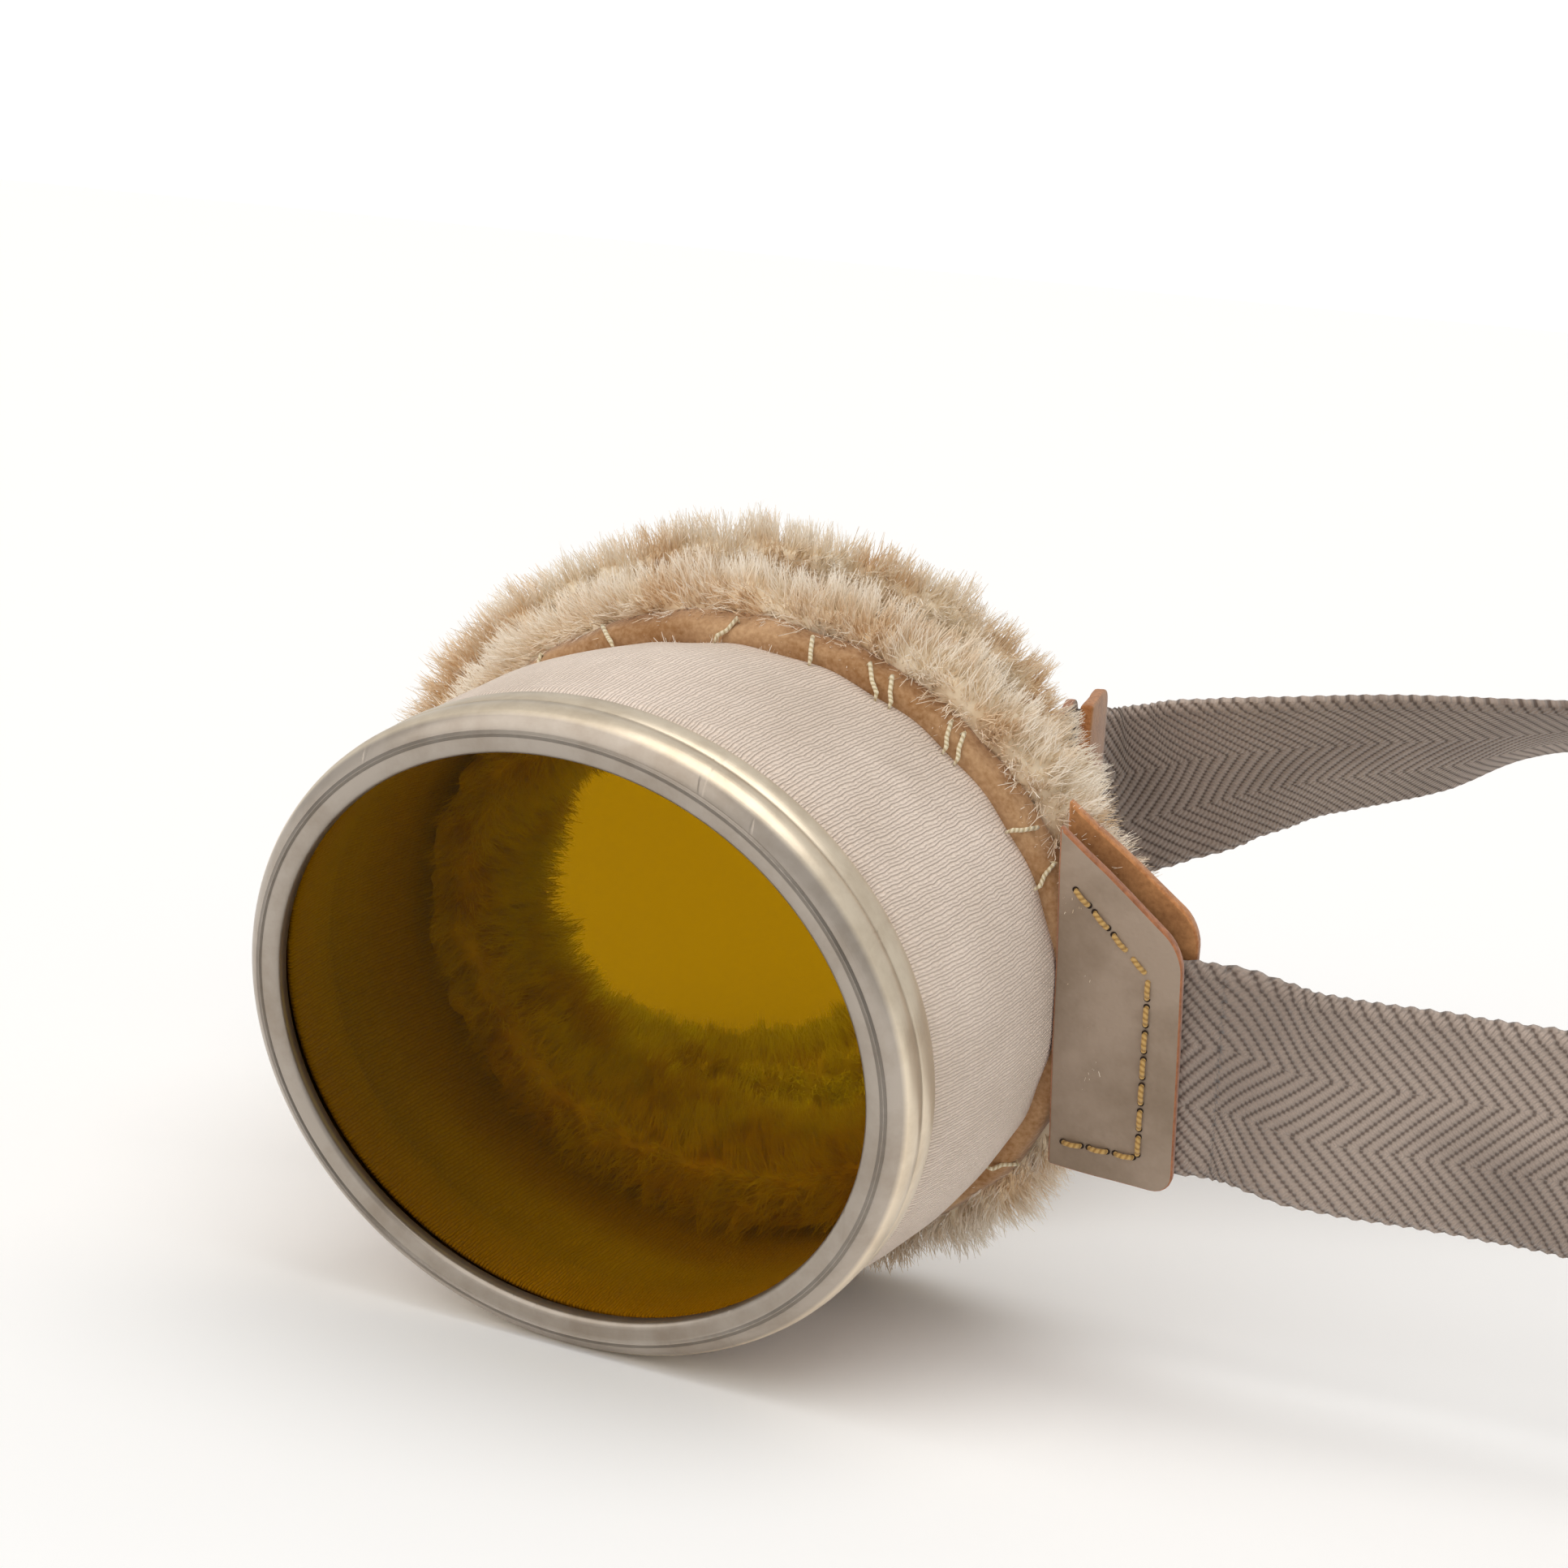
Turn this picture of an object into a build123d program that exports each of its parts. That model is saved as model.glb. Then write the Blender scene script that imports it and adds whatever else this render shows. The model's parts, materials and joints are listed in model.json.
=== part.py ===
"""Folding motorcycle goggles: two oval eyecups with metal rims, knitted sleeves and
sheepskin face pads, joined by a leather nose bridge and a two-piece webbing head strap.

Each cup is drawn in its own frame: X towards the temple, Y from the lens towards the
face, Z up, with the middle of the lens opening as origin.  It then pitches about the
nose wire, because the goggles stand on their rims with the pads leaning together.  The
right cup is the left one's mirror image, folded behind it.
"""
import math
import os

from build123d import *

# ---- rim, lens and the rings inside it ------------------------------------------------
OPENING = (28.2, 25.2)          # half width and half height of the visible lens
RIM_WALL = 0.8
RIM_GROWTH = 3.7                # rim's outside, beyond the opening
RIM_DEPTH = 6.0
LIP_RADIUS = 2.6                # rolled front edge
LIP_THICKNESS = 1.6
LENS_THICKNESS = 1.5
LENS_CLEARANCE = 0.3
SPRING_RING_WIDTH = 1.4
SPRING_RING_DEPTH = 1.2
SPRING_RING_GAP = 3.0
CLAMP_WALL = 0.8
CLAMP_DEPTH = 4.0

# ---- knitted sleeve: depth, half width, half height, and shift of its middle -----------
KNIT_THICKNESS = 1.1
SLEEVE_SECTIONS = (
    (4.4, 31.1, 28.1, 0.0, 0.0),
    (6.1, 31.1, 28.1, 0.0, 0.0),
    (8.0, 31.8, 28.7, 0.1, 0.0),
    (13.0, 32.4, 29.0, 0.4, -0.2),
    (19.0, 32.5, 29.0, 0.8, -0.4),
    (25.0, 32.1, 28.6, 1.2, -0.7),
    (29.5, 31.6, 28.2, 1.4, -0.9),
)
SLEEVE_END = 29.5

# ---- sheepskin: hide, and the fleece that stands on it -----------------------------------
PAD_SHIFT = (1.4, -0.9)         # middle of the pad, beside and above the lens axis
HIDE_HALF = (32.8, 29.4)
HIDE_INNER = (29.9, 26.5)
HIDE_DEPTH = 2.8
FLEECE_HALF = (36.6, 32.2)
FLEECE_INNER = (24.5, 20.5)
FLEECE_DEPTH = 6.0
FLEECE_LINING = 5.0             # how far the fleece lines the sleeve from its rear edge
FLEECE_ROUND = 2.2

# ---- whip stitches that sew the hide to the sleeve -----------------------------------------
WHIP_COUNT = 22
WHIP_RADIUS = 0.22
WHIP_LENGTH = 3.0

# ---- temple tab: leather, webbing, leather --------------------------------------------------
LEFT_TAB_FOOT = (33.2, 28.5)    # front corner of the tab in plan
RIGHT_TAB_FOOT = (32.7, 29.8)
LEFT_TAB_TURN = 8.0             # degrees from the cup's X axis, towards the face
RIGHT_TAB_TURN = -72.0          # this tab is bent back along its sleeve
TAB_OUTER_THICKNESS = 1.2
TAB_INNER_THICKNESS = 1.4
TAB_LENGTH = 10.7
TAB_BASE_HALF = 15.8            # half height where the tab meets the sleeve
TAB_END_HALF = 11.6
TAB_CORNER = 2.0
TAB_PEEK = 1.3                  # the inner leather stands out this far at the top
WEBBING_START = 2.5             # the sewn-in webbing begins this far along the tab
LEFT_TAB_DROP = 5.7             # the tab's outer end hangs below the lens axis
RIGHT_TAB_DROP = -7.0           # and this one stands above it
LEFT_TAB_RISE = 0.0             # height of the middle of the sewn side
RIGHT_TAB_RISE = 0.0
TAB_SPACE = 4.3                 # room left for the tab's three layers in the cup
TAB_STITCH_RADIUS = 0.25
TAB_STITCH_LENGTH = 1.7
TAB_STITCH_PITCH = 2.45
TAB_STITCH_MARGIN = 3.0

# ---- head strap -----------------------------------------------------------------------------
STRAP_WIDTH = 20.0
STRAP_THICKNESS = 1.6
STRAP_LEAD = (0.9, 2.1, 3.3)    # the webbing leaves the tab in line with it, to here
LEFT_STRAP_ROUTE = (            # X, Y, Z of the webbing's middle, then its lean in degrees
    (54.0, 33.6, -6.2, 11.0),
    (66.0, 35.9, -6.3, 11.0),
    (78.0, 38.3, -6.6, 9.0),
    (92.0, 41.0, -9.0, 0.0),
    (150.0, 49.5, -17.7, 0.0),
)
RIGHT_STRAP_ROUTE = (
    (8.5, 99.8, 4.3, -3.0),
    (10.6, 103.6, 4.9, 8.0),
    (15.2, 105.9, 6.6, 22.0),
    (21.2, 106.4, 8.9, 34.0),
    (27.8, 107.0, 11.0, 42.0),
    (35.8, 109.2, 12.9, 46.0),
    (44.6, 113.3, 14.6, 52.0),
    (54.5, 121.0, 17.0, 66.0),
    (66.0, 131.5, 17.0, 70.0),
    (84.0, 141.5, 12.5, 56.0),
    (106.0, 145.5, 4.5, 36.0),
    (130.0, 141.5, -5.0, 18.0),
    (150.0, 129.5, -13.5, 8.0),
    (164.0, 111.0, -20.0, 2.0),
    (169.0, 89.0, -23.6, 0.0),
    (165.0, 69.0, -22.8, 0.0),
)
RIGHT_START_LEAN = -3.4
RIGHT_STRAP_LAP = 27.0          # how far the right webbing lies along the left one's end
LAP_GAP = 2.0                   # between the two webbings at the press stud
STATIONS_PER_SPAN = 3

# ---- press stud that closes the strap, and the sliding adjuster -------------------------------
STUD_FROM_END = 9.0
STUD_CAP_RADIUS = 5.5
STUD_CAP_HEIGHT = 1.5
STUD_POST_RADIUS = 2.0
STUD_POST_HEIGHT = 1.6
SOCKET_RADIUS = 4.8
SOCKET_BORE = 2.15
SOCKET_HEIGHT = 1.7
SOCKET_CAP_RADIUS = 4.6
SOCKET_CAP_HEIGHT = 1.2
SLIDE_FROM_END = 46.0
SLIDE_WIDTH = 14.0
SLIDE_RAIL = 2.4
SLIDE_BAR = 3.0
SLIDE_THICKNESS = 1.0
SLIDE_CLEARANCE = 0.3

# ---- nose bridge -------------------------------------------------------------------------------
NOSE_PIN = (-37.6, 31.2)        # the wire loop's upright, in the cup's frame
NOSE_WIRE_RADIUS = 0.8
NOSE_LOOP_HALF = 7.5            # half height of the wire loop
NOSE_ANCHOR_HALF = 9.5
NOSE_ANCHOR_DEPTH = 2.6
NOSE_ANCHOR_WIDTH = 2.4
BRIDGE_LENGTH = 17.0            # from one wire loop to the other
BRIDGE_TURN = 132.0             # direction of the folded bridge, degrees from X
BRIDGE_EYE_RADIUS = 2.3
BRIDGE_CLEARANCE = 0.06
BRIDGE_NOTCH = (6.0, 14.0, 14.0)    # wool pressed flat where the bridge passes the pad
BRIDGE_NOTCH_DEPTH = 34.0           # distance of the notch's floor from the cup's middle
BRIDGE_HALF_HEIGHT = 5.5
BRIDGE_THICKNESS = 2.4
RIVET_RADIUS = 1.2
RIVET_HEAD_RADIUS = 2.2
RIVET_HEAD_HEIGHT = 0.7
RIVET_OFFSET = 3.6              # from the middle of the bridge
CUP_TURN = 31.0                 # direction of the right cup's X axis when folded
CUP_PITCH = 11.0                # each cup's lens end sinks this far, in degrees

UP = Vector(0, 0, 1)
LEFT_TAB = {
    "foot": LEFT_TAB_FOOT, "turn": LEFT_TAB_TURN, "drop": LEFT_TAB_DROP, "rise": LEFT_TAB_RISE,
}
RIGHT_TAB = {
    "foot": RIGHT_TAB_FOOT, "turn": RIGHT_TAB_TURN, "drop": RIGHT_TAB_DROP, "rise": RIGHT_TAB_RISE,
}


def grown(half, amount):
    """Half width and half height of an oval, made larger on every side."""
    return (half[0] + amount, half[1] + amount)


def oval_face(half, depth, shift=(0.0, 0.0)):
    """A flat oval facing +Y at the given depth."""
    plane = Plane(origin=(shift[0], depth, shift[1]), x_dir=(1, 0, 0), z_dir=(0, 1, 0))
    return plane * Ellipse(*half)


def oval_slab(half, start, end, shift=(0.0, 0.0)):
    """An oval cylinder between two depths."""
    return extrude(oval_face(half, start, shift), amount=end - start, dir=(0, 1, 0))


def oval_ring(outer, inner, start, end, shift=(0.0, 0.0)):
    """An oval tube between two depths."""
    hole = oval_slab(inner, start - 1, end + 1, shift)
    return oval_slab(outer, start, end, shift) - hole


def rod(start, end, radius):
    """A straight round rod between two points."""
    start, end = Vector(start), Vector(end)
    plane = Plane(origin=start, z_dir=(end - start).normalized())
    return extrude(plane * Circle(radius), amount=(end - start).length)


# ---- pieces of one cup ---------------------------------------------------------------------------
def make_rim():
    """Spun metal bezel: rolled lip in front, plain band behind it."""
    body = oval_slab(grown(OPENING, RIM_GROWTH), 0, RIM_DEPTH)
    front = body.edges().sort_by(Axis.Y)[0]
    body = fillet(front, LIP_RADIUS)
    body -= oval_slab(OPENING, -1, RIM_DEPTH)
    body -= oval_slab(grown(OPENING, RIM_GROWTH - RIM_WALL), LIP_THICKNESS, RIM_DEPTH + 1)
    return body


def make_lens():
    """Flat tinted glass, seated behind the lip."""
    half = grown(OPENING, RIM_GROWTH - RIM_WALL - LENS_CLEARANCE)
    return oval_slab(half, LIP_THICKNESS, LIP_THICKNESS + LENS_THICKNESS)


def make_spring_ring():
    """Split ring that snaps in behind the glass."""
    outer = grown(OPENING, RIM_GROWTH - RIM_WALL - 0.1)
    start = LIP_THICKNESS + LENS_THICKNESS
    end = start + SPRING_RING_DEPTH
    ring = oval_ring(outer, grown(outer, -SPRING_RING_WIDTH), start, end)
    slot = Box(SPRING_RING_GAP, 2 * SPRING_RING_DEPTH, 2 * SPRING_RING_WIDTH + 2)
    return ring - Pos(0, start, -outer[1]) * slot


def make_clamp_ring():
    """Inner ring that nips the front of the sleeve against the rim's band."""
    outer = grown(OPENING, RIM_GROWTH - RIM_WALL - KNIT_THICKNESS)
    start = SLEEVE_SECTIONS[0][0]
    return oval_ring(outer, grown(outer, -CLAMP_WALL), start, start + CLAMP_DEPTH)


def make_sleeve():
    """Knitted tube from the rim to the pad."""
    outside = []
    inside = []
    for depth, half_width, half_height, shift_x, shift_z in SLEEVE_SECTIONS:
        half = (half_width, half_height)
        outside.append(oval_face(half, depth, (shift_x, shift_z)))
        inside.append(oval_face(grown(half, -KNIT_THICKNESS), depth, (shift_x, shift_z)))
    return loft(outside, ruled=True) - loft(inside, ruled=True)


def make_hide():
    """Skin edge of the sheepskin, sewn round the rear of the sleeve."""
    return oval_ring(HIDE_HALF, HIDE_INNER, SLEEVE_END, SLEEVE_END + HIDE_DEPTH, PAD_SHIFT)


def make_fleece():
    """Woolly face pad: a ring behind the hide that also lines the end of the sleeve."""
    start = SLEEVE_END + HIDE_DEPTH
    end = start + FLEECE_DEPTH
    pad = oval_slab(FLEECE_HALF, start, end, PAD_SHIFT)
    pad = fillet(pad.edges(), FLEECE_ROUND)
    lining = oval_slab(grown(HIDE_INNER, -0.1), SLEEVE_END - FLEECE_LINING, start + 1, PAD_SHIFT)
    pad += lining
    pad -= Pos(-BRIDGE_NOTCH_DEPTH - BRIDGE_NOTCH[0] / 2, NOSE_PIN[1] + 5, 0) * Box(*BRIDGE_NOTCH)
    return pad - oval_slab(FLEECE_INNER, 0, end + 1, PAD_SHIFT)


def make_whip_stitches():
    """Slanting threads over the seam between the sleeve and the hide."""
    stitches = []
    half = grown(HIDE_HALF, WHIP_RADIUS + 0.02)
    for index in range(WHIP_COUNT):
        angle = 2 * math.pi * (index + 0.5) / WHIP_COUNT
        if abs(math.sin(angle)) < 0.6 and math.cos(angle) > 0:
            continue
        if math.sin(angle) < -0.9 or abs(math.sin(angle)) < 0.35:
            continue
        slant = 0.03 * math.sin(3.1 * index)
        ends = []
        for turn, depth in ((angle - slant, 0.0), (angle + slant, WHIP_LENGTH)):
            x = PAD_SHIFT[0] + half[0] * math.cos(turn)
            z = PAD_SHIFT[1] + half[1] * math.sin(turn)
            ends.append((x, SLEEVE_END - 1.0 + depth, z))
        stitches.append(rod(ends[0], ends[1], WHIP_RADIUS))
    return Compound(children=stitches)


def tab_plane(tab, offset=0.0):
    """Plane of the tab: its x runs outwards, its y runs up, its z faces forwards."""
    turn = math.radians(tab["turn"])
    along = Vector(math.cos(turn), math.sin(turn), 0)
    inwards = Vector(-math.sin(turn), math.cos(turn), 0)
    origin = Vector(*tab["foot"], 0) + inwards * offset
    return Plane(origin=origin, x_dir=along, z_dir=along.cross(UP))


def tab_outline(tab, length, grow_top):
    """Outline of the tab: tall where it is sewn on, narrower where the webbing leaves it."""
    drop = tab["drop"]
    rise = tab["rise"]
    points = (
        (0.0, TAB_BASE_HALF + rise + grow_top),
        (length, TAB_END_HALF - drop + grow_top),
        (length, -TAB_END_HALF - drop),
        (0.0, -TAB_BASE_HALF + rise),
    )
    face = make_face(Polyline(*points, close=True))
    ends = face.vertices().sort_by(Axis.X)[-2:]
    return fillet(ends, TAB_CORNER)


def tab_layer(tab, offset, thickness, length=TAB_LENGTH, grow_top=0.0):
    """One layer of the tab, from an offset behind its outer face."""
    plane = tab_plane(tab, offset)
    return extrude(plane * tab_outline(tab, length, grow_top), amount=-thickness)


def make_tab_outer(tab):
    """Smooth leather on the outside of the webbing's end."""
    return tab_layer(tab, 0.0, TAB_OUTER_THICKNESS)


def make_tab_inner(tab):
    """Suede leather on the inside, which shows past the outer piece at the top."""
    offset = TAB_OUTER_THICKNESS + STRAP_THICKNESS
    return tab_layer(tab, offset, TAB_INNER_THICKNESS, TAB_LENGTH, TAB_PEEK)


def make_strap_root(tab):
    """End of the webbing, sewn between the two leathers."""
    start = WEBBING_START
    end = TAB_LENGTH
    plane = tab_plane(tab, TAB_OUTER_THICKNESS)
    middle = -tab["drop"]
    sheet = plane * Pos((start + end) / 2, middle) * Rectangle(end - start, STRAP_WIDTH)
    return extrude(sheet, amount=-STRAP_THICKNESS)


def tab_seam(tab):
    """Corners of the seam: along the top, down the outer end and back along the foot."""
    margin = TAB_STITCH_MARGIN
    drop = tab["drop"]
    rise = tab["rise"]
    return (
        (0.6, TAB_BASE_HALF + rise - margin - 1.6),
        (TAB_LENGTH - margin, TAB_END_HALF - drop - margin),
        (TAB_LENGTH - margin, -TAB_END_HALF - drop + margin),
        (0.8, -TAB_BASE_HALF + rise + margin - 0.2),
    )


def make_tab_stitches(tab):
    """Visible threads of the seam that holds the tab together."""
    plane = tab_plane(tab, -TAB_STITCH_RADIUS)
    corners = tab_seam(tab)
    stitches = []
    for start, end in zip(corners, corners[1:]):
        run = Vector(end[0] - start[0], end[1] - start[1])
        count = max(1, round(run.length / TAB_STITCH_PITCH))
        step = run / count
        for index in range(count):
            middle = Vector(*start) + step * (index + 0.5)
            half = step.normalized() * (TAB_STITCH_LENGTH / 2)
            ends = [plane.from_local_coords(middle - half), plane.from_local_coords(middle + half)]
            stitches.append(rod(ends[0], ends[1], TAB_STITCH_RADIUS))
    return Compound(children=stitches)


def make_nose_keeper():
    """Leather keeper on the nose side of the hide, which holds the wire loop."""
    edge = PAD_SHIFT[0] - HIDE_HALF[0]
    width = NOSE_ANCHOR_WIDTH
    block = Box(width + 2, NOSE_ANCHOR_DEPTH, 2 * NOSE_ANCHOR_HALF)
    return Pos(edge - width / 2 + 1, NOSE_PIN[1], 0) * block


def make_nose_loop():
    """Bent wire: an upright for the bridge to turn on and two legs into the keeper."""
    x, y = NOSE_PIN
    leg_end = PAD_SHIFT[0] - HIDE_HALF[0] - 0.6
    top = NOSE_LOOP_HALF
    bend = 1.6
    line = FilletPolyline(
        (leg_end, y, top), (x, y, top), (x, y, -top), (leg_end, y, -top), radius=bend
    )
    section = Plane(origin=line @ 0, z_dir=line % 0) * Circle(NOSE_WIRE_RADIUS)
    return sweep(section, path=line)


def pitched(piece):
    """Sinks the lens end of a piece, about the height of the nose wire's middle."""
    about = Axis((0, NOSE_PIN[1], 0), (1, 0, 0))
    return piece.rotate(about, CUP_PITCH)


def make_cup(side, tab):
    """All the pieces of one cup, with the left cup's shape and place."""
    tab_space = tab_layer(tab, -0.05, TAB_SPACE, TAB_LENGTH, TAB_PEEK)
    pieces = {
        "rim": make_rim(),
        "lens": make_lens(),
        "spring_ring": make_spring_ring(),
        "clamp_ring": make_clamp_ring(),
        "knit_sleeve": make_sleeve() - tab_space,
        "sheepskin_hide": make_hide() - tab_space,
        "fleece_pad": make_fleece() - tab_space,
        "whip_stitches": make_whip_stitches(),
        "tab_outer_leather": make_tab_outer(tab),
        "tab_inner_leather": make_tab_inner(tab),
        "tab_stitches": make_tab_stitches(tab),
        "webbing_end": make_strap_root(tab),
    }
    pieces = {name: pitched(piece) for name, piece in pieces.items()}
    loop = make_nose_loop()
    pieces["fleece_pad"] -= loop
    keeper = make_nose_keeper() - loop - pitched(oval_slab(HIDE_HALF, 0, 60, PAD_SHIFT))
    pieces["nose_keeper"] = keeper - pieces["fleece_pad"]
    pieces["nose_loop"] = loop
    return {f"{side}_{name}": piece for name, piece in pieces.items()}


# ---- where the cups stand ------------------------------------------------------------------------
def bridge_end():
    """The far upright of the nose bridge, in plan."""
    turn = math.radians(BRIDGE_TURN)
    return (
        NOSE_PIN[0] + BRIDGE_LENGTH * math.cos(turn),
        NOSE_PIN[1] + BRIDGE_LENGTH * math.sin(turn),
    )


def fold_right(piece):
    """Mirrors a piece drawn for the left cup and folds it behind that cup."""
    flipped = mirror(piece, about=Plane.YZ)
    at_pin = Pos(NOSE_PIN[0], -NOSE_PIN[1], 0) * flipped
    far_pin = bridge_end()
    return Pos(far_pin[0], far_pin[1], 0) * Rot(0, 0, CUP_TURN - 180) * at_pin


def folded_point(x, y):
    """Where a plan point of the cup frame lands on the folded right cup."""
    turn = math.radians(CUP_TURN)
    out = x - NOSE_PIN[0]
    back = y - NOSE_PIN[1]
    far_pin = bridge_end()
    return (
        far_pin[0] + out * math.cos(turn) + back * math.sin(turn),
        far_pin[1] + out * math.sin(turn) - back * math.cos(turn),
    )


# ---- nose bridge -----------------------------------------------------------------------------------
def make_bridge():
    """Leather strip with a sewn eye at each end, round the wire loops."""
    near, far = NOSE_PIN, bridge_end()
    height = 2 * BRIDGE_HALF_HEIGHT
    middle = ((near[0] + far[0]) / 2, (near[1] + far[1]) / 2)
    strip = Pos(middle[0], middle[1], 0) * Rot(0, 0, BRIDGE_TURN) * Box(
        BRIDGE_LENGTH, BRIDGE_THICKNESS, height
    )
    for x, y in (near, far):
        strip += Pos(x, y, 0) * Cylinder(BRIDGE_EYE_RADIUS, height)
    for x, y in (near, far):
        strip -= Pos(x, y, 0) * Cylinder(NOSE_WIRE_RADIUS + BRIDGE_CLEARANCE, height + 2)
    return strip


def make_bridge_rivets():
    """Two rivets that close the eyes of the bridge."""
    near, far = NOSE_PIN, bridge_end()
    middle = Vector((near[0] + far[0]) / 2, (near[1] + far[1]) / 2)
    turn = math.radians(BRIDGE_TURN)
    along = Vector(math.cos(turn), math.sin(turn), 0)
    across = along.cross(UP)
    reach = BRIDGE_THICKNESS / 2
    rivets = []
    for side in (-1, 1):
        centre = middle + along * (side * RIVET_OFFSET)
        low = centre - across * (reach + RIVET_HEAD_HEIGHT)
        high = centre + across * (reach + RIVET_HEAD_HEIGHT)
        shank = rod(low, high, RIVET_RADIUS)
        head = rod(low, (centre - across * reach), RIVET_HEAD_RADIUS)
        tail = rod((centre + across * reach), high, RIVET_HEAD_RADIUS)
        rivets.append(shank + head + tail)
    return Compound(children=rivets)


# ---- head strap ------------------------------------------------------------------------------------
def smooth_route(points):
    """Stations along a smooth curve through the given points (Catmull-Rom)."""
    stations = []
    last = len(points) - 1
    for index in range(last):
        before = points[max(index - 1, 0)]
        start = points[index]
        end = points[index + 1]
        after = points[min(index + 2, last)]
        steps = STATIONS_PER_SPAN
        for step in range(steps + (index == last - 1)):
            t = step / steps
            stations.append(tuple(
                0.5 * (2 * b + (c - a) * t + (2 * a - 5 * b + 4 * c - d) * t * t
                       + (3 * b - a - 3 * c + d) * t ** 3)
                for a, b, c, d in zip(before, start, end, after)
            ))
    return stations


def ribbon(stations):
    """Webbing through the stations: flat, of one width and thickness, leaning as they say."""
    sections = []
    for index, (x, y, z, lean) in enumerate(stations):
        before = stations[max(index - 1, 0)]
        after = stations[min(index + 1, len(stations) - 1)]
        along = Vector(*(b - a for a, b in zip(before[:3], after[:3]))).normalized()
        face = along.cross(UP).normalized()
        upright = face.cross(along)
        turn = math.radians(lean)
        across = face * math.cos(turn) - upright * math.sin(turn)
        plane = Plane(origin=(x, y, z), x_dir=across, z_dir=along)
        sections.append(plane * Rectangle(STRAP_THICKNESS, STRAP_WIDTH))
    return loft(sections, ruled=True)


def left_strap_end():
    """End point and directions of the left webbing's straight end."""
    start = Vector(*LEFT_STRAP_ROUTE[-2][:3])
    end = Vector(*LEFT_STRAP_ROUTE[-1][:3])
    along = (end - start).normalized()
    outwards = along.cross(UP).normalized()
    return end, along, outwards


def strap_start(tab, distance):
    """Middle of the webbing at a distance from the tab's end, on the left cup as it stands."""
    offset = TAB_OUTER_THICKNESS + STRAP_THICKNESS / 2
    local = Vector(TAB_LENGTH + distance, -tab["drop"], 0)
    point = tab_plane(tab, offset).from_local_coords(local)
    turn = math.radians(CUP_PITCH)
    back = point.Y - NOSE_PIN[1]
    return (
        point.X,
        NOSE_PIN[1] + back * math.cos(turn) - point.Z * math.sin(turn),
        back * math.sin(turn) + point.Z * math.cos(turn),
    )


def make_left_strap():
    """Webbing from the left tab; its last stretch is straight."""
    lead = [strap_start(LEFT_TAB, d) + (CUP_PITCH,) for d in STRAP_LEAD]
    bend = smooth_route(tuple(lead) + LEFT_STRAP_ROUTE[:-1])
    return ribbon(bend + [LEFT_STRAP_ROUTE[-1]])


def right_route():
    """The right webbing: from its tab, round the back, and along the left one's end."""
    end, along, outwards = left_strap_end()
    lap_start = end - outwards * (STRAP_THICKNESS + LAP_GAP)
    lap_end = lap_start - along * RIGHT_STRAP_LAP
    lead = []
    for distance in STRAP_LEAD:
        x, y, z = strap_start(RIGHT_TAB, distance)
        lead.append(folded_point(x, y) + (z, RIGHT_START_LEAN))
    stations = smooth_route(
        tuple(lead) + RIGHT_STRAP_ROUTE + ((lap_start.X, lap_start.Y, lap_start.Z, 0.0),)
    )
    return stations + [(lap_end.X, lap_end.Y, lap_end.Z, 0.0)]


def make_right_strap():
    """Webbing from the right tab."""
    return ribbon(right_route())


def stud_frame(shift):
    """Point on the strap's press stud, moved inwards from the left webbing's middle."""
    end, along, outwards = left_strap_end()
    return end - along * STUD_FROM_END - outwards * shift, outwards


def stud_rod(start, end, radius):
    """Round part of the press stud between two distances inwards from the left webbing."""
    low, _ = stud_frame(start)
    high, _ = stud_frame(end)
    return rod(low, high, radius)


def make_stud():
    """Cap outside the left webbing, shank through it and post inside."""
    half = STRAP_THICKNESS / 2
    stud = stud_rod(-half - STUD_CAP_HEIGHT, -half, STUD_CAP_RADIUS)
    stud = fillet(stud.edges(), 0.6)
    stud += stud_rod(-half - 0.5, half + STUD_POST_HEIGHT, STUD_POST_RADIUS)
    return stud


def make_socket():
    """Ring on the right webbing that the post snaps into."""
    start = STRAP_THICKNESS / 2 + LAP_GAP - SOCKET_HEIGHT
    end = STRAP_THICKNESS / 2 + LAP_GAP
    ring = stud_rod(start, end, SOCKET_RADIUS)
    return ring - stud_rod(start - 1, end + 1, SOCKET_BORE)


def make_socket_cap():
    """Rivet head on the inside of the right webbing."""
    start = STRAP_THICKNESS * 1.5 + LAP_GAP
    cap = stud_rod(start, start + SOCKET_CAP_HEIGHT, SOCKET_CAP_RADIUS)
    return fillet(cap.edges(), 0.5)


def make_slide():
    """Stamped three-bar slide: outer bars outside the webbing, middle bar inside it."""
    end, along, outwards = left_strap_end()
    centre = end - along * SLIDE_FROM_END
    plane = Plane(origin=centre, x_dir=along, z_dir=outwards)
    height = STRAP_WIDTH + 2 * (SLIDE_RAIL + SLIDE_CLEARANCE)
    reach = STRAP_THICKNESS / 2 + SLIDE_CLEARANCE
    body = Box(SLIDE_WIDTH, height, SLIDE_THICKNESS)
    front = Pos(0, 0, reach + SLIDE_THICKNESS / 2) * body
    slot = Box(SLIDE_WIDTH - 2 * SLIDE_BAR, STRAP_WIDTH + 2 * SLIDE_CLEARANCE, 20)
    front -= slot
    bar = Pos(0, 0, -reach - SLIDE_THICKNESS / 2) * Box(SLIDE_BAR, height, SLIDE_THICKNESS)
    rail_height = 2 * reach + 2 * SLIDE_THICKNESS
    rail_at = (STRAP_WIDTH + 2 * SLIDE_CLEARANCE + SLIDE_RAIL) / 2
    for side in (-1, 1):
        bar += Pos(0, side * rail_at, 0) * Box(SLIDE_BAR, SLIDE_RAIL, rail_height)
    return plane * (front + bar)


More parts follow.
